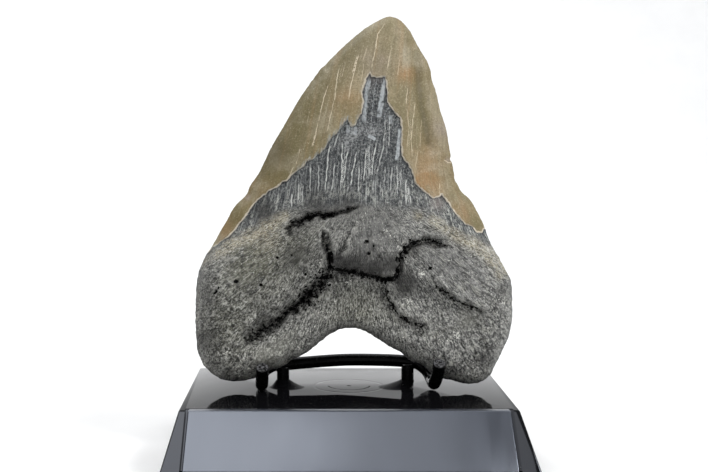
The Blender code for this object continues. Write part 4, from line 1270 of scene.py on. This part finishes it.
def rod_mesh(name, points, radius, sides=28, chamfer=0.3 * MM):
    """A round rod along the points with slightly broken end edges."""
    points = np.array(points)
    tangents = np.gradient(points, axis=0)
    tangents /= np.linalg.norm(tangents, axis=1)[:, None]
    side = np.cross(tangents[0], [0, 0, 1.0])
    if np.linalg.norm(side) < 0.1:
        side = np.cross(tangents[0], [1.0, 0, 0])
    side /= np.linalg.norm(side)
    (start, end), (out, back) = points[[0, -1]], tangents[[0, -1]]
    stations = [(start, out, radius - chamfer), (start + out * chamfer, out, radius)]
    stations += [(point, tangent, radius) for point, tangent in zip(points[1:-1], tangents[1:-1])]
    stations += [(end - back * chamfer, back, radius), (end, back, radius - chamfer)]
    body = bmesh.new()
    rings = []
    for place, tangent, reach in stations:
        side = side - tangent * np.dot(side, tangent)
        side /= np.linalg.norm(side)
        other = np.cross(tangent, side)
        ring = []
        for index in range(sides):
            turn = 2 * math.pi * index / sides
            ring.append(body.verts.new(place + reach * (math.cos(turn) * side + math.sin(turn) * other)))
        rings.append(ring)
    for low, high in zip(rings, rings[1:]):
        for index in range(sides):
            following = (index + 1) % sides
            body.faces.new((low[index], low[following], high[following], high[index]))
    body.faces.new(rings[0][::-1])
    body.faces.new(rings[-1])
    bmesh.ops.recalc_face_normals(body, faces=body.faces)
    mesh = mesh_from(body, name)
    ends = np.zeros(len(mesh.vertices), np.float32)
    ends[:sides] = 1
    ends[-sides:] = 1
    mesh.attributes.new("end", "FLOAT", "POINT").data.foreach_set("value", ends)
    shade(mesh)
    return mesh


def build_rods():
    """The bent rod, and the posts that end just under its axis."""
    paint = rod_material()
    route = rod_route()
    cradle = link("bent_rod", rod_mesh("bent_rod", route, ROD_RADIUS + PAINT))
    pieces = [(cradle, "cradle_rod")]
    middle = route[ROUTE_ENDS:-ROUTE_ENDS]
    for name, node, place in POSTS:
        nearest = middle[np.hypot(middle[:, 0] - place.x, middle[:, 1] - place.y).argmin()]
        heights = np.linspace(BASE_TOP - POST_SINK + GAP, nearest[2] - POST_SHORT, 20)
        points = [(place.x, place.y, height) for height in heights]
        pieces.append((link(name, rod_mesh(name, points, ROD_RADIUS + PAINT)), node))
    for piece, node in pieces:
        piece.data.materials.append(paint)
        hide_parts(node)
        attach(piece, "root")


# Stage, lights and camera


def stage_material():
    graph = Graph("pale_stage")
    weave = graph.noise(graph.place(), 40.0, 3.0)
    colour = graph.mix(graph.range(weave, 0.3, 0.7), (0.78, 0.78, 0.78), (0.80, 0.80, 0.80))
    graph.set(Base_Color=colour, Roughness=0.9)
    return graph.material


def build_stage():
    """A white sweep: flat floor that curves up into a backdrop."""
    profile = [(SWEEP_FRONT, 0.0), (SWEEP_BEND, 0.0)]
    for step in range(1, SWEEP_STEPS + 1):
        turn = math.radians(90) * step / SWEEP_STEPS
        profile.append((SWEEP_BEND + SWEEP_RADIUS * math.sin(turn), SWEEP_RADIUS * (1 - math.cos(turn))))
    profile.append((SWEEP_BEND + SWEEP_RADIUS, SWEEP_TOP))
    body = bmesh.new()
    sides = (-SWEEP_HALF_WIDTH, SWEEP_HALF_WIDTH)
    left, right = [[body.verts.new((x, y, z)) for y, z in profile] for x in sides]
    for index in range(len(profile) - 1):
        body.faces.new((left[index], right[index], right[index + 1], left[index + 1]))
    sweep = link("sweep", mesh_from(body, "sweep"))
    sweep.data.shade_smooth()
    sweep.data.materials.append(stage_material())


def area_lamp(name, place, target, width, height, power, colour):
    """A rectangular lamp that faces the target."""
    data = bpy.data.lights.new(name, "AREA")
    data.shape = "RECTANGLE"
    data.size = width
    data.size_y = height
    data.energy = power
    data.color = colour
    lamp = link(name, data)
    lamp.location = place
    lamp.rotation_euler = (Vector(target) - Vector(place)).to_track_quat("-Z", "Y").to_euler()


def build_lamps():
    for lamp in LAMPS:
        area_lamp(*lamp)
    world = bpy.context.scene.world or bpy.data.worlds.new("World")
    bpy.context.scene.world = world
    world.use_nodes = True
    background = world.node_tree.nodes["Background"]
    background.inputs["Color"].default_value = (*WHITE, 1)
    background.inputs["Strength"].default_value = WORLD_STRENGTH


def build_camera():
    data = bpy.data.cameras.new("camera")
    data.sensor_width = 36
    data.lens = FOCAL_PIXELS * data.sensor_width / PHOTO_WIDTH
    data.shift_x = (PHOTO_WIDTH / 2 - CENTRE_COLUMN) / PHOTO_WIDTH
    data.clip_start = 0.01
    camera = link("camera", data)
    camera.location = CAMERA_PLACE
    camera.rotation_euler = (math.radians(90) - CAMERA_PITCH, 0, 0)
    bpy.context.scene.camera = camera


def main():
    clear_start_objects()
    build_camera()
    build_base()
    build_nameplate()
    build_rods()
    build_tooth()
    build_stage()
    build_lamps()
    bpy.context.scene.view_settings.view_transform = "Standard"


main()
